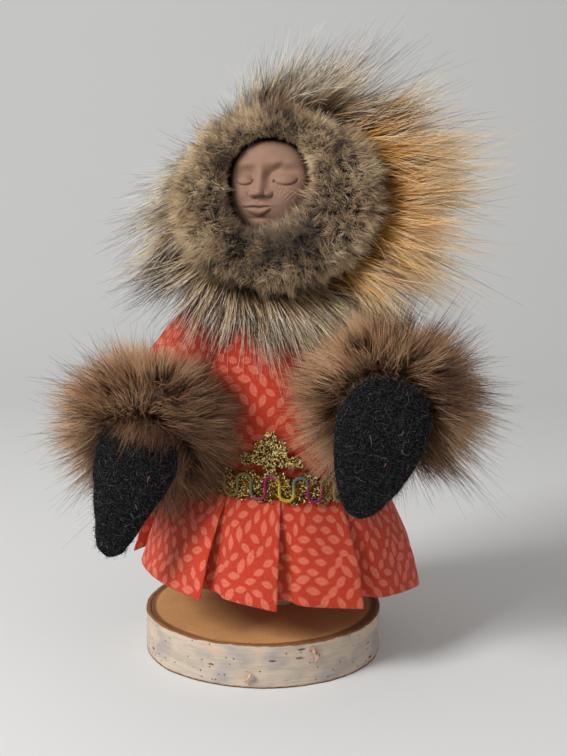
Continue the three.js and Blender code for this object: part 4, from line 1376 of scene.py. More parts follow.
    def on_loop(self, turn, aside, bottom, half, tall):
        """A point of the ornament, at a turn along one of its upright loops."""
        height = bottom + tall / 2 + math.cos(turn) * tall / 2 * self.LOOP_SHARE
        radius = body_radius(height) + self.LOOP_OUT
        aside += math.sin(turn) * half * self.LOOP_SHARE
        return on_waist(self.MIDDLE + aside / radius, radius, height)

    def loop(self, *form):
        """One upright loop of the ornament."""
        rings = []
        for step in range(self.LOOP_STEPS):
            turn = step / self.LOOP_STEPS * TURN
            point = self.on_loop(turn, *form)
            along = (self.on_loop(turn + 0.1, *form) - point).normalized()
            out = away(point)
            side = along.cross(out).normalized()
            rings.append(section(point, out, side, self.LOOP_RADIUS, self.CORD_SIDES))
        rings.append(rings[0])
        return welded(lofted(rings, filled=False))


class DOLL_OT_mittens(bpy.types.Operator):
    """Make the two felt mittens"""

    bl_idname = "doll.mittens"
    bl_label = "Felt Mittens"

    # Stray threads on the felt, in millimetres across and down, degrees, length, how far they curl, and coat
    THREADS = {
        "right": (
            (-4.4, 12, 300, 3.2, -2.6, 3),
            (-2.9, 19.5, 232, 1.6, 0.2, 2),
            (-2.7, 22, 240, 1.5, -0.3, 2),
            (-2.1, 26.6, 200, 0.7, 0.6, 2),
            (1, 31.4, 215, 0.9, 0.4, 2),
            (1.5, 15, 250, 3, 1.8, 1),
        ),
        "left": (
            (-2.1, 19.3, 260, 1.1, 1.2, 3),
            (-4.4, 11, 270, 2.6, 2.4, 2),
            (-5, 15.5, 250, 3, -1.9, 2),
            (3, 13, 240, 2.6, 0.3, 2),
            (0.6, 24, 180, 3.4, 1.4, 1),
        ),
    }

    THREAD_STEPS = 6
    THREAD_THICKNESS = 0.2 * MM
    THREAD_LIFT = 0.35 * MM
    THREAD_TONE = 5
    # How sharply the two felts meet at the mitten's edge
    LENS = 1.25

    def threads(self, mittens, arm):
        """Stray threads that lie on the front of the felt."""
        face, across = arm.palm()
        strands = []
        for wide, down, turn, reach, curl, coat in self.THREADS[arm.name]:
            path = []
            turn = math.radians(turn)
            for _ in range(self.THREAD_STEPS + 1):
                share = self.outline(mittens, arm, down * MM)
                side = min(abs(wide * MM) / (share * arm.width / 2), 1)
                high = (1 - side**2) ** (self.LENS / 2) * share * mittens.thickness / 2 + self.THREAD_LIFT
                place = arm.pivot + arm.hand * (down * MM - MITTEN_RISE)
                aside = wide * MM + self.skew(mittens, arm, down * MM)
                path.append(place + across * aside + face * high)
                wide += math.cos(turn) * reach / self.THREAD_STEPS
                down -= math.sin(turn) * reach / self.THREAD_STEPS
                turn += curl / self.THREAD_STEPS
            strands.append((path, self.THREAD_THICKNESS, coat * COAT_TONES + self.THREAD_TONE))
        return strands

    def skew(self, mittens, arm, down):
        """How far aside a mitten leans at a distance from its top."""
        return arm.skew * (down / mittens.hand_length) ** 2

    def outline(self, mittens, arm, down):
        """Half width of a mitten, as a share, at a distance from its top."""
        half = arm.width / 2
        if down < half:
            return math.sqrt(max(0, 1 - (1 - down / half) ** 2))
        share = (down - half) / (mittens.hand_length - half)
        tip = mittens.tip / arm.width
        blunt = math.sqrt(max(0, 1 - max(0, (share - 0.9) / 0.1) ** 2))
        return (tip + (1 - tip) * (1 - share**arm.fullness)) * blunt

    def execute(self, context):
        mittens = context.scene.doll_mittens
        felt = wool_felt(mittens)
        dark, lint = mittens.felt, mittens.lint
        grey = tuple((a + b) / 2 for a, b in zip(dark, lint))
        pink = srgb(196, 112, 124)
        runs = ((dark, dark), (dark, grey), (grey, lint), (pink, pink))
        coats = [[(0, root), (1, tip)] for root, tip in runs]
        fuzz = hair_finish("felt fibre", coats, {"Roughness": 0.8})
        for arm in ARMS:
            hand = f"{arm.name}_hand"
            bm = self.pouch(mittens, arm)
            strands = self.fibres(bm, mittens, arm)
            piece = new_piece(f"{arm.name}_mitten", bm, felt, hand)
            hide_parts(f"{arm.name}_mitten_palm", f"{arm.name}_mitten_back")
            grow(f"{arm.name}_mitten_fibres", strands, fuzz, hand)
            grow(f"{arm.name}_mitten_lint", self.threads(mittens, arm), fuzz, hand)
        return {"FINISHED"}

    def pouch(self, mittens, arm):
        """Two felts sewn edge to edge around a little stuffing."""
        face, across = arm.palm()
        bm = bmesh.new()
        bmesh.ops.create_uvsphere(bm, u_segments=56, v_segments=44, radius=1)
        for vert in bm.verts:
            down = mittens.hand_length * (1 - vert.co.z) / 2
            around = math.atan2(vert.co.y, vert.co.x)
            shape = self.outline(mittens, arm, down)
            wide = math.cos(around) * shape * arm.width / 2 + self.skew(mittens, arm, down)
            lens = math.copysign(abs(math.sin(around)) ** self.LENS, math.sin(around))
            thick = lens * shape * mittens.thickness / 2
            vert.co = arm.pivot + arm.hand * (down - MITTEN_RISE) + across * wide + face * thick
        bm.normal_update()
        for vert in bm.verts:
            dent = 0.45 * noise.noise(vert.co * 130) + 0.22 * noise.noise(vert.co * 420)
            vert.co += vert.normal * dent * MM
        bmesh.ops.recalc_face_normals(bm, faces=bm.faces)
        return bm

    def fibres(self, bm, mittens, arm):
        """Fibres that lie on the felt and stand off its edges."""
        chance = random.Random(arm.name)
        faces = list(bm.faces)
        front = arm.palm()[0]
        weights = [face.calc_area() * (1 + 2 * (1 - abs(face.normal.dot(front)))) for face in faces]
        strands = []
        for face in chance.choices(faces, weights, k=thinned(mittens.fibres)):
            root = face.calc_center_median() + scatter(chance, 0.25 * MM) - face.normal * 0.1 * MM
            flat = face.normal.cross(scatter(chance, 1)).normalized()
            aim = (flat + face.normal * chance.uniform(0.05, 0.5)).normalized()
            reach = chance.uniform(0.5, 1.5) * MM
            bend = scatter(chance, 0.5) - face.normal * 0.25
            coat = 2 if chance.random() < 0.12 else chance.randrange(2)
            tone = coat * COAT_TONES + chance.randrange(COAT_TONES)
            strands.append((hair(root, aim, reach, bend, 2), chance.uniform(0.07, 0.13) * MM, tone))
        return strands


class DOLL_OT_face(bpy.types.Operator):
    """Press the clay face"""

    bl_idname = "doll.face"
    bl_label = "Clay Face"

    # The outline and the depth of the face in millimetres, how thick its rim is, and where it sits
    HALF_WIDTH = 9.8
    HALF_HEIGHT = 11.5
    DEPTH = 7.9
    RIM = 1.2
    SEAT = Vector((0.5, -11.3, 123.5)) * MM
    # Soft rises and dips in millimetres: how high, across, up, half width and half height
    RISES = (
        # Brows
        (0.6, -5.4, 4.7, 2.6, 1.1),
        (0.6, 4.0, 5.0, 4.0, 1.2),
        # Sockets of the eyes and the sides of the ridge
        (-0.8, -5.0, 2.6, 2.4, 1.8),
        (-0.9, 3.6, 2.8, 3.2, 1.8),
        (-0.8, 0.3, 1.9, 1.2, 2.0),
        (-0.4, -3.9, 1.6, 0.8, 1.4),
        # Cheeks
        (0.5, -6.6, -2.4, 2.0, 2.6),
        (0.6, 4.8, -2.6, 3.0, 2.8),
        # Wings of the nose
        (0.75, -3.8, -2.5, 0.7, 0.8),
        (0.85, 0.2, -2.45, 0.95, 0.85),
        # Around the mouth, the dip above it, the dip below it and the chin
        (0.5, -2.4, -5.9, 4.4, 2.4),
        (-0.25, -1.9, -4.6, 0.45, 0.6),
        (-0.3, -2.3, -8.3, 2.4, 0.45),
        (0.55, -2.2, -9.7, 2.2, 1.2),
    )
    # Corners of the eyes and nostrils: how deep, then as above. Their depth is also painted as shade.
    HOLLOWS = (
        (1.0, 1.5, 0.55, 0.3, 0.3),
        (0.7, -3.7, 0.9, 0.35, 0.25),
        (1.0, -2.7, -3.4, 0.42, 0.3),
        (1.0, -0.95, -3.1, 0.55, 0.3),
    )
    # Creases around the wings of the nose: how deep, across, up, radius and which way they face. Their depth
    # is also painted as shade.
    CREASES = ((0.7, 0.35, -2.4, 1.05, -0.9), (0.4, -4.1, -2.5, 0.85, 3.4))
    # Eyelids, and fields of tool strokes: across, up, half width, half height, and how the strokes lean
    LIDS = ((-5.8, 1.2, 2.3, 1.5), (4.3, 1.3, 2.9, 1.6))
    STROKES = (
        (3.2, -1.4, 1.2, 1.4, -0.4),
        (5.2, -2.6, 1.6, 1.3, -0.85),
        (-5.6, -3.9, 1.6, 1.0, 0.94),
        (-5.4, -8.0, 1.8, 1.3, 0.15),
        (-1.4, -8.9, 2.0, 0.9, 0.3),
        (1.9, -0.2, 0.8, 1.3, -0.1),
    )

    def soft(self, x, z, at_x, at_z, wide, tall, power=2):
        """A round rise of height 1."""
        return math.exp(-(abs((x - at_x) / wide) ** power) - abs((z - at_z) / tall) ** power)

    def relief(self, x, z):
        """How far the face rises, in millimetres, and how deep its recesses are, which is painted as shade,
        from the middle of its outline.
        """
        soft = self.soft
        rise = sum(high * soft(x, z, *form) for high, *form in self.RISES)
        # Sunken corners, creases, lash lines and the mouth line are carved and also painted darker as shade.
        hollow = sum(deep * soft(x, z, *form) for deep, *form in self.HOLLOWS)
        hollow += sum(deep * self.crease(x, z, *form) for deep, *form in self.CREASES)
        for at_x, at_z, wide, tall in self.LIDS:
            lid = math.hypot((x - at_x) / wide, (z - at_z) / tall)
            ease = 0.5 + 1.1 * min(max((z - at_z + 0.9) / 1.6, 0), 1)
            rise += 0.9 * max(0, 1 - lid * lid) ** ease
            hollow += 0.45 * math.exp(-(((lid - 1.03) / 0.07) ** 2)) * min(1, max(0, (at_z - z) * 2))
        fold = 0.65 * x - 0.76 * z + 1.3
        rise -= 0.6 * math.exp(-((fold / 0.9) ** 2)) * soft(x, z, 2.0, 3.4, 3.0, 2.2)
        dip = 0.12 * math.cos(1.7 * (x + 1.9) + math.pi) * soft(x, 0, -1.9, 0, 2.4, 1)
        line = -5.62 + 0.03 * (x + 2.9) + dip
        rise += self.nose(x, z) + self.lips(x, z, line)
        hollow += 0.55 * math.exp(-(((z - line) / 0.15) ** 2)) * min(1, max(0, 3.9 - abs(x + 2.9)))
        for at_x, at_z, wide, tall, lean in self.STROKES:
            stroke = 0.5 + 0.5 * math.sin(TURN * (x * math.cos(lean) + z * math.sin(lean)) / 0.8)
            rise -= 0.11 * stroke**4 * soft(x, z, at_x, at_z, wide, tall, 4)
        return rise - 0.6 * hollow, min(1, hollow)

    def crease(self, x, z, at_x, at_z, radius, toward):
        """How deep the crease around one side of a wing of the nose is."""
        distance = math.hypot(x - at_x, z - at_z)
        side = math.cos(math.atan2(z - at_z, x - at_x) - toward)
        return math.exp(-(((distance - radius) / 0.16) ** 2)) * max(0, side) ** 0.7

    def nose(self, x, z):
        """The ridge and the tip of the nose."""
        across = x + 1.9 - 0.06 * z
        down = min(max((4.2 - z) / 7.0, 0), 1)
        ends = (1 + math.exp((z - 4.4) / 0.8)) * (1 + math.exp(-(z + 3.0) / 0.36))
        high = (0.35 + 1.75 * down**1.2) / ends
        rise = high * math.exp(-(abs(across / (0.95 + 0.75 * down)) ** 2.2))
        tip = math.hypot((across + 0.1) / 1.5, (z + 2.1) / 1.25)
        return rise + 0.5 * math.sqrt(max(0, 1 - tip * tip))

    def lips(self, x, z, line):
        """A bowed lip over a line and a full one under it."""
        soft = self.soft
        bow = 0.2 * (soft(x, 0, -3.5, 0, 0.7, 1) + soft(x, 0, -1.6, 0, 0.7, 1))
        upper = 0.6 * soft(x, z - bow, -2.7, -5.1, 3.0, 0.5)
        span = max(0, 1 - ((x + 2.3) / 3.0) ** 2)
        share = min(max((line - 0.1 - z) / (2.1 * span**0.6 + 0.01), 0), 1)
        return upper + 0.6 * math.sin(math.pi * share) ** 0.9 * span**0.4

    def execute(self, context):
        face = context.scene.doll_face
        bm = bmesh.new()
        # Each corner keeps the painted shade of the recesses for the clay's colour.
        hollow = bm.verts.layers.float.new("hollow")
        detail = 7
        bmesh.ops.create_icosphere(bm, subdivisions=detail, radius=1)
        for vert in bm.verts:
            x, y, z = vert.co
            front = max(0, -y)
            jaw = 1 + 0.09 * (2 * x * z) ** 2 * (x < 0) * (z < 0)
            x, z = x * jaw, z * jaw
            deep = self.RIM * min(1, front * 8) + (self.DEPTH - self.RIM) * front**0.42
            along_x = x * self.HALF_WIDTH
            along_z = z * self.HALF_HEIGHT * (1 - 0.09 * max(0, z) ** 2)
            if front > 0:
                rise, vert[hollow] = self.relief(along_x, along_z)
                deep += rise * min(1, front * 3)
            back = 0.3 * max(0, y)
            vert.co = Vector((along_x, back - deep, along_z)) * MM
        bm.transform(TO_HEAD @ Matrix.Translation(self.SEAT))
        bmesh.ops.recalc_face_normals(bm, faces=bm.faces)
        piece = new_piece("clay_face", bm, fired_clay(face), "head")
        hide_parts("face")
        return {"FINISHED"}


class Ruff:
    """A ring of pelt around the face, from its hole to its rim, in millimetres of the head's own frame."""

    def __init__(self, hole, rim, root_y, rim_y, thickness, pinches=(), hide=1.0):
        self.hole = hole
        self.rim = rim
        self.root_y = root_y
        self.rim_y = rim_y
        self.thickness = thickness
        self.pinches = pinches
        self.hide = hide

    def edge(self, ellipse, angle, y, shrink=1.0):
        """A point on one of the ring's two outlines."""
        x, z, wide, tall = ellipse
        return Vector((x + math.cos(angle) * wide * shrink, y, z + math.sin(angle) * tall * shrink)) * MM

    def spoke(self, angle):
        """The root and the end of the ring at an angle."""
        kept = 1
        for degrees, depth, focus in self.pinches:
            kept -= depth * facing(angle, math.radians(degrees), focus)
        return self.edge(self.hole, angle, self.root_y), self.edge(self.rim, angle, self.rim_y, kept)

    def at(self, angle, turn, inset):
        """A point on the ring's skin at an angle and a turn around its section, and the skin's normal."""
        root, end = self.spoke(angle)
        end = root + (end - root) * self.hide
        reach = end - root
        half = max(reach.length / 2 - inset, 0.5 * MM)
        thick = max(self.thickness * MM / 2 - inset, 0.5 * MM)
        out = reach.normalized()
        point = (root + end) / 2 - out * (math.cos(turn) * half) + Vector((0, math.sin(turn) * thick, 0))
        normal = (-out * math.cos(turn) / half + Vector((0, math.sin(turn) / thick, 0))).normalized()
        point.y += (point.z - HEAD_HEIGHT) * RUFF_LEAN
        return point, normal, out

    def base(self, inset):
        """The skin of the ring as a closed mesh in place on the head."""
        bm = closed_ring(lambda angle, turn: self.at(angle, turn, inset)[0], 72, 22)
        bm.transform(TO_HEAD)
        return bm


# Holes and rims: across, up, half width and half height. Pinches: toward which angle, how deep, how narrow
INNER_RUFF = Ruff(
    hole=(1, 123, 8.8, 9.6), rim=(2.5, 119.4, 25.5, 22.2), root_y=-19.5, rim_y=-19.5, thickness=13
)
OUTER_FORM = {
    "rim": (7.6, 117.4, 42, 34),
    "root_y": -6,
    "rim_y": -13,
    "thickness": 10.5,
    "pinches": ((-50, 0.19, 2), (138, 0.17, 4)),
}
OUTER_RUFF = Ruff(hole=(0, 120, 18.3, 19.3), hide=0.68, **OUTER_FORM)
# The ruff's hide is sewn into the hood's edge, so it starts further in than the hair
OUTER_HIDE = Ruff(hole=(0, 120, 13.6, 14.6), hide=0.72, **OUTER_FORM)


class DOLL_OT_inner_ruff(bpy.types.Operator):
    """Grow the short plush around the face"""

    bl_idname = "doll.inner_ruff"
    bl_label = "Inner Ruff"

    # How far from the middle of the face the pile ends, in millimetres, every 30 degrees from the doll's left
    OPENING = (9.2, 10.2, 11.2, 11.9, 12.6, 11.6, 10.2, 10.8, 11.3, 9.2, 8.0, 8.3)

    # Coats from root to tip: places along the hair and their screen colours
    COATS = (
        ((0, 66, 50, 36), (0.45, 164, 136, 101), (1, 208, 183, 145)),
        ((0, 66, 50, 36), (0.5, 142, 115, 84), (1, 186, 157, 119)),
        ((0, 38, 29, 23), (0.6, 82, 64, 49), (1, 128, 103, 78)),
        ((0, 66, 50, 36), (0.4, 188, 163, 127), (1, 230, 210, 175)),
    )
    MIDDLE = Vector((1.0, 0, 123.5)) * MM
    INSET = 3.2 * MM
    # The inner lip of the ring, as shares of the turn around its section, and where the pile is brushed back
    LIP_START = 0.78
    LIP_WIDTH = 0.14
    BRUSHED = math.radians(128)
    BRUSHED_START = 0.68
    # The turns around the section that bear pile, how many lumps it has to the metre and how deep they are
    PILE = (math.pi * 0.9, TURN * 1.02)
    LUMPS = 95
    LUMP_DEPTH = 0.75
    SWIRL = 3 * MM

    def opening(self, angle):
        """How far from the middle of the face the pile ends at an angle."""
        place = angle / TURN * len(self.OPENING) % len(self.OPENING)
        before = int(place)
        after = (before + 1) % len(self.OPENING)
        share = place - before
        return (self.OPENING[before] * (1 - share) + self.OPENING[after] * share) * MM

    def execute(self, context):
        fur = context.scene.doll_fur
        bm = INNER_RUFF.base(self.INSET)
        skin = hide("plush hide", srgb(36, 28, 22), srgb(96, 78, 60), 1.2 * MM)
        piece = new_piece("inner_ruff_hide", bm, skin, "head")
        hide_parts("inner_ruff")
        finish = hair_finish("plush fur", coloured(self.COATS), {"Roughness": 0.7, "Sheen Weight": 0.2})
        chance = random.Random(51)
        plush = Lock(hairs=12, spread=0.65, gather=0.3, steps=2, thinnest=0.11, thickest=0.19)
        thirds = ([], [], [])
        for number in range(thinned(fur.plush) // plush.hairs):
            angle = chance.uniform(0, TURN)
            turn = chance.uniform(*self.PILE)
            place, normal, out = INNER_RUFF.at(angle, turn, self.INSET)
            aim = normal - out * min(0, normal.dot(out)) * 0.5
            swirl = drift(place, self.SWIRL)
            aim = (aim + swirl * 0.7 + scatter(chance, 0.3) + FRONT * 0.15).normalized()
            lump = self.LUMP_DEPTH * noise.noise(place * self.LUMPS + UP * 9)
            reach = fur.plush_length * chance.uniform(0.6, 1.1) * (1 + lump)
            from_middle = place - self.MIDDLE
            opening = self.opening(math.atan2(from_middle.z, from_middle.x))
            room = math.hypot(from_middle.x, from_middle.z) - opening
            lip = min(max((turn / TURN - self.LIP_START) / self.LIP_WIDTH, 0), 1)
            aim = aim.lerp(scatter(chance, 0.3) - out, lip * 0.85).normalized()
            back = min(1, 1.6 * facing(angle, self.BRUSHED, 1)) * (turn > TURN * self.BRUSHED_START)
            aim = aim.lerp(out, 0.4 * back * (1 - lip)).normalized()
            reach *= 1 - 0.4 * back * (1 - lip)
            reach += (max(room, 0.8 * MM) * chance.uniform(0.7, 1.1) - reach) * lip
            shade = 1.3 * noise.noise(place * 150 + UP * 4) + chance.gauss(0, 0.25) - 0.05
            # Hair below the face, and on the lip at the doll's left, takes darker coats: painted shade.
            shade += 0.5 * facing(angle, BELOW, 1) + 0.3 * lip * facing(angle, LEFT, 1)
            coat = 2 if shade > 0.5 else 1 if shade > 0.1 else 0 if shade > -0.45 else 3
            bend = scatter(chance, 0.25) + out * 0.15
            thirds[number % 3].extend(plush.grown(chance, place, aim, reach, bend, coat, TO_HEAD))
        for name, strands in zip(("inner_ruff_pile", "inner_ruff_tufts", "inner_ruff_curls"), thirds):
            grow(name, strands, finish, "head")
        return {"FINISHED"}


class DOLL_OT_outer_ruff(bpy.types.Operator):
    """Grow the long banded hair around the hood"""

    bl_idname = "doll.outer_ruff"
    bl_label = "Outer Ruff"

    HIDE_INSET = 2.6 * MM
    ROOT_INSET = 2.9 * MM
    # Coats from root to tip: places along the hair and their screen colours
    COATS = (
        ((0, 92, 74, 54), (0.3, 212, 186, 150), (0.7, 250, 238, 218), (0.86, 84, 74, 68), (1, 30, 26, 25)),
        ((0, 104, 74, 42), (0.22, 196, 136, 64), (0.55, 244, 186, 104), (1, 254, 236, 202)),
        ((0, 78, 62, 44), (0.3, 208, 172, 124), (0.65, 246, 222, 182), (1, 252, 248, 234)),
        ((0, 86, 62, 44), (0.35, 96, 70, 52), (0.7, 54, 41, 36), (1, 30, 26, 25)),
    )
    BANDED, AMBER, PALE, DARK = range(len(COATS))
    # Which coats grow where: up to how many degrees from the doll's left, below which chance the hair
    # is dark, below which it is pale, and what it is otherwise
    STRETCHES = (
        (-52, 0.26, 0.86, BANDED),
        (28, 0.05, 0.05, AMBER),
        (56, 0.2, 0.4, AMBER),
        (205, 0.14, 0.34, BANDED),
        (250, 0.42, 0.6, BANDED),
        (270, 0.26, 0.86, BANDED),
    )
    # Middles and spreads in degrees of the amber side and of the crest, and the crest's share of the hair
    AMBER_SIDE = (-4, 27)
    CREST = (96, 13)
    CREST_SHARE = 0.1
    # The shares of the ring's width that guard hair and other hair root on, and how much grows on the front
    GUARD_ROOTS = (0.0, 0.62)
    UNDER_ROOTS = (0.0, 0.85)
    FRONT_SHARE = 0.64
    # How far the hair reaches past the rim in millimetres, and how short it may be
    GUARD_BEYOND = (1, 7)
    UNDER_BEYOND = (-5, 1)
    SHORTEST = 6 * MM
    # Where the hair is thin, where it stands highest and where it hangs
    THIN = math.radians(134)
    HIGHEST = math.radians(98)
    HANGING = math.radians(-68)
    # How much the length changes there and at the doll's left, in millimetres, and how much hair is missing
    THIN_CHANGE = 3.5
    HIGHEST_CHANGE = 4
    HANGING_CHANGE = 5
    LEFT_CHANGE = 2.5
    THIN_LOSS = 0.6
    # How far the hair lifts off the hide, and over what distance its direction drifts
    LIFT = (0.05, 0.42)
    SWIRL = 7 * MM

    def execute(self, context):
        fur = context.scene.doll_fur
        bm = OUTER_HIDE.base(self.HIDE_INSET)
        skin = hide("ruff hide", srgb(48, 39, 31), srgb(128, 108, 84), 1.5 * MM)
        piece = new_piece("outer_ruff_hide", bm, skin, "head")
        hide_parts("outer_ruff")
        finish = hair_finish("banded hair", coloured(self.COATS), {"Roughness": 0.45})
        chance = random.Random(61)
        fill = Lock(hairs=8, spread=1.2, gather=0.2, steps=3, thinnest=0.1, thickest=0.16)
        under = Lock(hairs=8, spread=0.9, gather=0.45, steps=4, thinnest=0.14, thickest=0.23)
        guard = Lock(hairs=5, spread=0.8, gather=0.6, steps=5, thinnest=0.12, thickest=0.18)
        strands = []
        for _ in range(thinned(fur.amber) // fill.hairs):
            strands += self.grown(chance, fill, False, math.radians(chance.gauss(*self.AMBER_SIDE)))
        grow("outer_ruff_amber", strands, finish, "head")
        for name, lock, number in (("underfur", under, fur.under), ("guard_hair", guard, fur.guard)):
            strands = []
            for _ in range(thinned(number) // lock.hairs):
                angle = chance.uniform(0, TURN)
                if chance.random() < self.CREST_SHARE:
                    angle = math.radians(chance.gauss(*self.CREST))
                strands += self.grown(chance, lock, lock is guard, angle)
            grow(f"outer_ruff_{name}", strands, finish, "head")
        return {"FINISHED"}

    def coat(self, chance, angle):
        """Which coat grows at an angle."""
        degrees = (math.degrees(angle) + chance.gauss(0, 9) + 90) % 360 - 90
        roll = chance.random()
        dark, pale, other = next(shares for until, *shares in self.STRETCHES if degrees < until)
        return self.DARK if roll < dark else self.PALE if roll < pale else other

    def grown(self, chance, lock, is_guard, angle):
        """One lock that fans out from the hood's edge at an angle."""
        start, end = OUTER_RUFF.spoke(angle)
        share = chance.uniform(*(self.GUARD_ROOTS if is_guard else self.UNDER_ROOTS))
        turn = math.acos(1 - 2 * share)
        turn = TURN - turn if chance.random() < self.FRONT_SHARE else turn
        root, normal, out = OUTER_RUFF.at(angle, turn, self.ROOT_INSET)
        beyond = chance.uniform(*(self.GUARD_BEYOND if is_guard else self.UNDER_BEYOND))
        if is_guard:
            beyond += self.LEFT_CHANGE * facing(angle, LEFT, 2) * chance.random()
        else:
            beyond -= self.LEFT_CHANGE * facing(angle, LEFT, 3)
        thin = facing(angle, self.THIN, 8)
        if chance.random() < self.THIN_LOSS * thin:
            return []
        beyond -= self.THIN_CHANGE * thin
        beyond += self.HIGHEST_CHANGE * facing(angle, self.HIGHEST, 10) * chance.random()
        below = facing(angle, self.HANGING, 2)
        beyond += self.HANGING_CHANGE * below * chance.random()
        left_over = (1 - share * OUTER_RUFF.hide) * (end - start).length
        reach = max(self.SHORTEST, left_over + beyond * MM)
        swirl = drift(root, self.SWIRL)
        lift = chance.uniform(*self.LIFT)
        aside = 0.12 * facing(angle, ABOVE, 3) + 0.3 * facing(angle, BELOW, 3)
        lean = Vector((aside, 0, -0.25 * facing(angle, RIGHT, 3)))
        aim = (out + normal * lift + lean + swirl * 0.4 + scatter(chance, 0.08)).normalized()
        bend = scatter(chance, 0.08) + swirl * 0.2 + out * 0.1 - normal * lift * 0.3 - UP * 0.2 * below
        return lock.grown(chance, root, aim, reach, bend, self.coat(chance, angle), TO_HEAD)


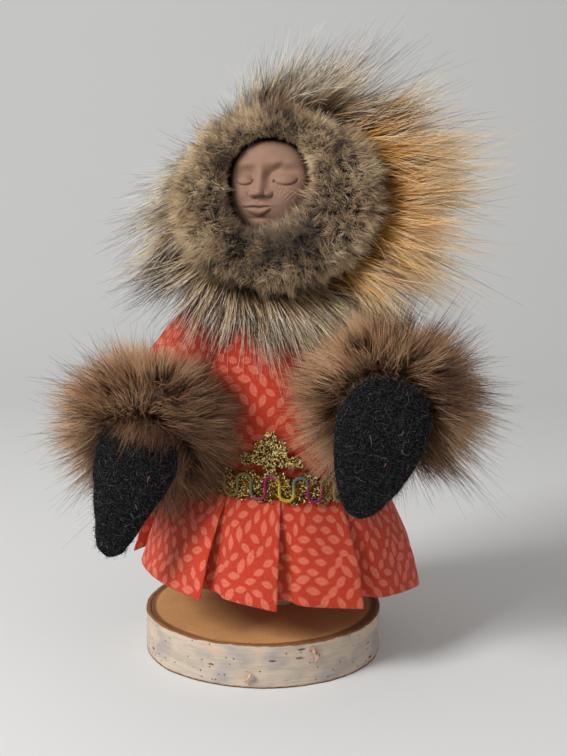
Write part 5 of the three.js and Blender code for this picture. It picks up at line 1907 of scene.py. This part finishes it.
class DOLL_OT_cuffs(bpy.types.Operator):
    """Grow the two fur cuffs"""

    bl_idname = "doll.cuffs"
    bl_label = "Fur Cuffs"

    # Coats from root to tip: places along the hair and their screen colours
    COATS = (
        ((0, 84, 64, 48), (0.4, 172, 132, 99), (1, 160, 119, 87)),
        ((0, 110, 85, 65), (0.45, 200, 162, 125), (1, 193, 154, 117)),
        ((0, 54, 39, 31), (0.5, 112, 78, 56), (1, 92, 62, 45)),
        ((0, 92, 70, 54), (0.35, 78, 58, 45), (0.7, 46, 37, 32), (1, 28, 24, 24)),
    )
    # The ring under the hair: its radius, and half its thickness and its width
    RING_RADIUS = 11.2 * MM
    RING_HALF = 3.2 * MM
    RING_WIDE = 5.5 * MM
    # How far the ring is drawn in on the side of the body, so that the arm can swing down
    ROOM = 4.2 * MM
    # How the hair on the front of each cuff is brushed aside
    BRUSHED = {"right": Vector((0.55, 0, -0.05)), "left": Vector()}
    # Where around the ring's section hair roots in degrees, all of it and the extra hair at the mitten's side
    ROOTS = (-125, 150)
    HAND_ROOTS = (95, 150)
    ROOTS_SHARE = 0.8
    # Where around the section the hair parts toward the mitten
    PARTING = math.radians(98)
    # The way that the hair hangs longest: how far down, and how far outward
    HANG = 0.9
    SPREAD = 0.45
    SWIRL = 6.5 * MM
    # How much longer guard hair is
    GUARD_REACH = (1.2, 1.6)
    # How often a lock that meets the mitten is turned toward its face before it is left out
    TRIES = 6

    def execute(self, context):
        fur = context.scene.doll_fur
        skin = hide("cuff hide", srgb(58, 44, 34), srgb(140, 112, 84), 1.2 * MM)
        finish = hair_finish("cuff fur", coloured(self.COATS), {"Roughness": 0.5}, 0.4)
        under = Lock(hairs=10, spread=1.1, gather=0.32, steps=2, thinnest=0.1, thickest=0.17)
        guard = Lock(hairs=3, spread=1.3, gather=0.15, steps=4, thinnest=0.11, thickest=0.16)
        for arm in ARMS:
            body = f"{arm.name}_arm"
            chance = random.Random(arm.name + " cuff")
            bm = closed_ring(lambda angle, turn: self.at(arm, angle, turn)[0], 60, 16)
            piece = new_piece(f"{arm.name}_cuff_hide", bm, skin, body)
            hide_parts(f"{arm.name}_cuff")
            halves = ([], [])
            for number in range(thinned(fur.cuff) // under.hairs):
                halves[number % 2].extend(self.grown(arm, chance, fur, under, False))
            grow(f"{arm.name}_cuff_fur", halves[0], finish, body)
            grow(f"{arm.name}_cuff_pile", halves[1], finish, body)
            strands = []
            for _ in range(thinned(fur.cuff_guard) // guard.hairs):
                strands += self.grown(arm, chance, fur, guard, True)
            grow(f"{arm.name}_cuff_guard_hair", strands, finish, body)
        return {"FINISHED"}

    def at(self, arm, angle, turn):
        """A point on the cuff's ring, its normal and the way outward from the arm."""
        first = (UP - arm.along * UP.dot(arm.along)).normalized()
        second = arm.along.cross(first)
        out = first * math.cos(angle) + second * math.sin(angle)
        near = max(0, out.y) * self.ROOM
        reach = self.RING_RADIUS - near + (self.RING_HALF - near) * math.cos(turn)
        point = arm.cuff + out * reach + arm.along * (self.RING_WIDE * math.sin(turn))
        normal = (out * math.cos(turn) + arm.along * math.sin(turn)).normalized()
        return point, normal, out

    def grown(self, arm, chance, fur, lock, is_guard):
        """One lock that lies outward from the wrist."""
        angle = chance.uniform(0, TURN)
        roots = self.ROOTS if chance.random() < self.ROOTS_SHARE else self.HAND_ROOTS
        turn = math.radians(chance.uniform(*roots))
        root, normal, out = self.at(arm, angle, turn)
        outward = out.x * arm.side
        if is_guard and chance.random() > 0.4 + outward:
            return []
        swirl = drift(root, self.SWIRL)
        hang = Vector((arm.side * self.SPREAD, 0, -self.HANG))
        reach = fur.cuff_length * chance.uniform(0.75, 1.1) * (1 + 0.18 * out.dot(hang))
        reach += max(0, out.y) * 2 * self.ROOM * min(1, max(0, 0.4 - outward))
        bend = out * 0.22 + scatter(chance, 0.1) + swirl * 0.25 - UP * 0.06
        aim = normal * 0.75 + out * 0.6 + swirl * 0.5 + self.BRUSHED[arm.name] * max(0, math.sin(turn))
        if turn > self.PARTING:
            aim = arm.hand * 0.8 - out * 0.2 + swirl * 0.4
            reach *= 0.75 if arm.side > 0 else 1.05
            bend = scatter(chance, 0.15)
        aim = (aim + scatter(chance, 0.14)).normalized()
        if is_guard:
            reach *= chance.uniform(*self.GUARD_REACH)
        for _ in range(self.TRIES):
            if not arm.in_mitten(root + aim * reach) and not arm.in_mitten(root + aim * reach * 0.6):
                break
            aim = (aim + arm.palm()[0] * 0.3).normalized()
        else:
            return []
        # Hair near the parting at the mitten takes darker coats, and on the right arm the side toward the
        # body takes darker coats and the far side lighter ones: painted shade and light, mixed with random
        # patches.
        near = max(0, 1 - abs(turn - self.PARTING) / 0.35)
        patch = noise.noise(root * 105) + chance.gauss(0, 0.25) + 0.9 * near
        patch += out.x * (0.45 if arm.side < 0 else 0)
        coat = 3 if is_guard else 2 if patch > 0.4 else 1 if patch < -0.1 else 0
        return lock.grown(chance, root, aim, reach, bend, coat, Matrix())


class DOLL_PT_parts(bpy.types.Panel):
    """The doll's parts and their sizes"""

    bl_idname = "DOLL_PT_parts"
    bl_label = "Parka Doll"
    bl_space_type = "VIEW_3D"
    bl_region_type = "UI"
    bl_category = "Doll"

    def draw(self, context):
        for operator in OPERATORS:
            self.layout.operator(operator.bl_idname)
        for name, group in SETTINGS.items():
            settings = getattr(context.scene, name)
            column = self.layout.column(align=True)
            column.label(text=group.__doc__)
            for setting in group.__annotations__:
                column.prop(settings, setting)


SETTINGS = {
    "doll_birch": BirchSettings,
    "doll_parka": ParkaSettings,
    "doll_trim": TrimSettings,
    "doll_face": FaceSettings,
    "doll_mittens": MittenSettings,
    "doll_fur": FurSettings,
    "doll_stage": StageSettings,
}
OPERATORS = (
    DOLL_OT_stage,
    DOLL_OT_birch,
    DOLL_OT_frame_finishes,
    DOLL_OT_body,
    DOLL_OT_sleeves,
    DOLL_OT_skirt,
    DOLL_OT_trim,
    DOLL_OT_mittens,
    DOLL_OT_face,
    DOLL_OT_inner_ruff,
    DOLL_OT_outer_ruff,
    DOLL_OT_cuffs,
)


def register():
    """Adds the settings, operators and panel."""
    for name, group in SETTINGS.items():
        bpy.utils.register_class(group)
        setattr(bpy.types.Scene, name, PointerProperty(type=group))
    for operator in OPERATORS:
        bpy.utils.register_class(operator)
    bpy.utils.register_class(DOLL_PT_parts)


def unregister():
    """Takes them away again."""
    bpy.utils.unregister_class(DOLL_PT_parts)
    for operator in reversed(OPERATORS):
        bpy.utils.unregister_class(operator)
    for name, group in reversed(SETTINGS.items()):
        delattr(bpy.types.Scene, name)
        bpy.utils.unregister_class(group)


def main():
    """Makes every piece in order."""
    register()
    for operator in OPERATORS:
        group, name = operator.bl_idname.split(".")
        getattr(getattr(bpy.ops, group), name)()


if __name__ == "__main__":
    main()
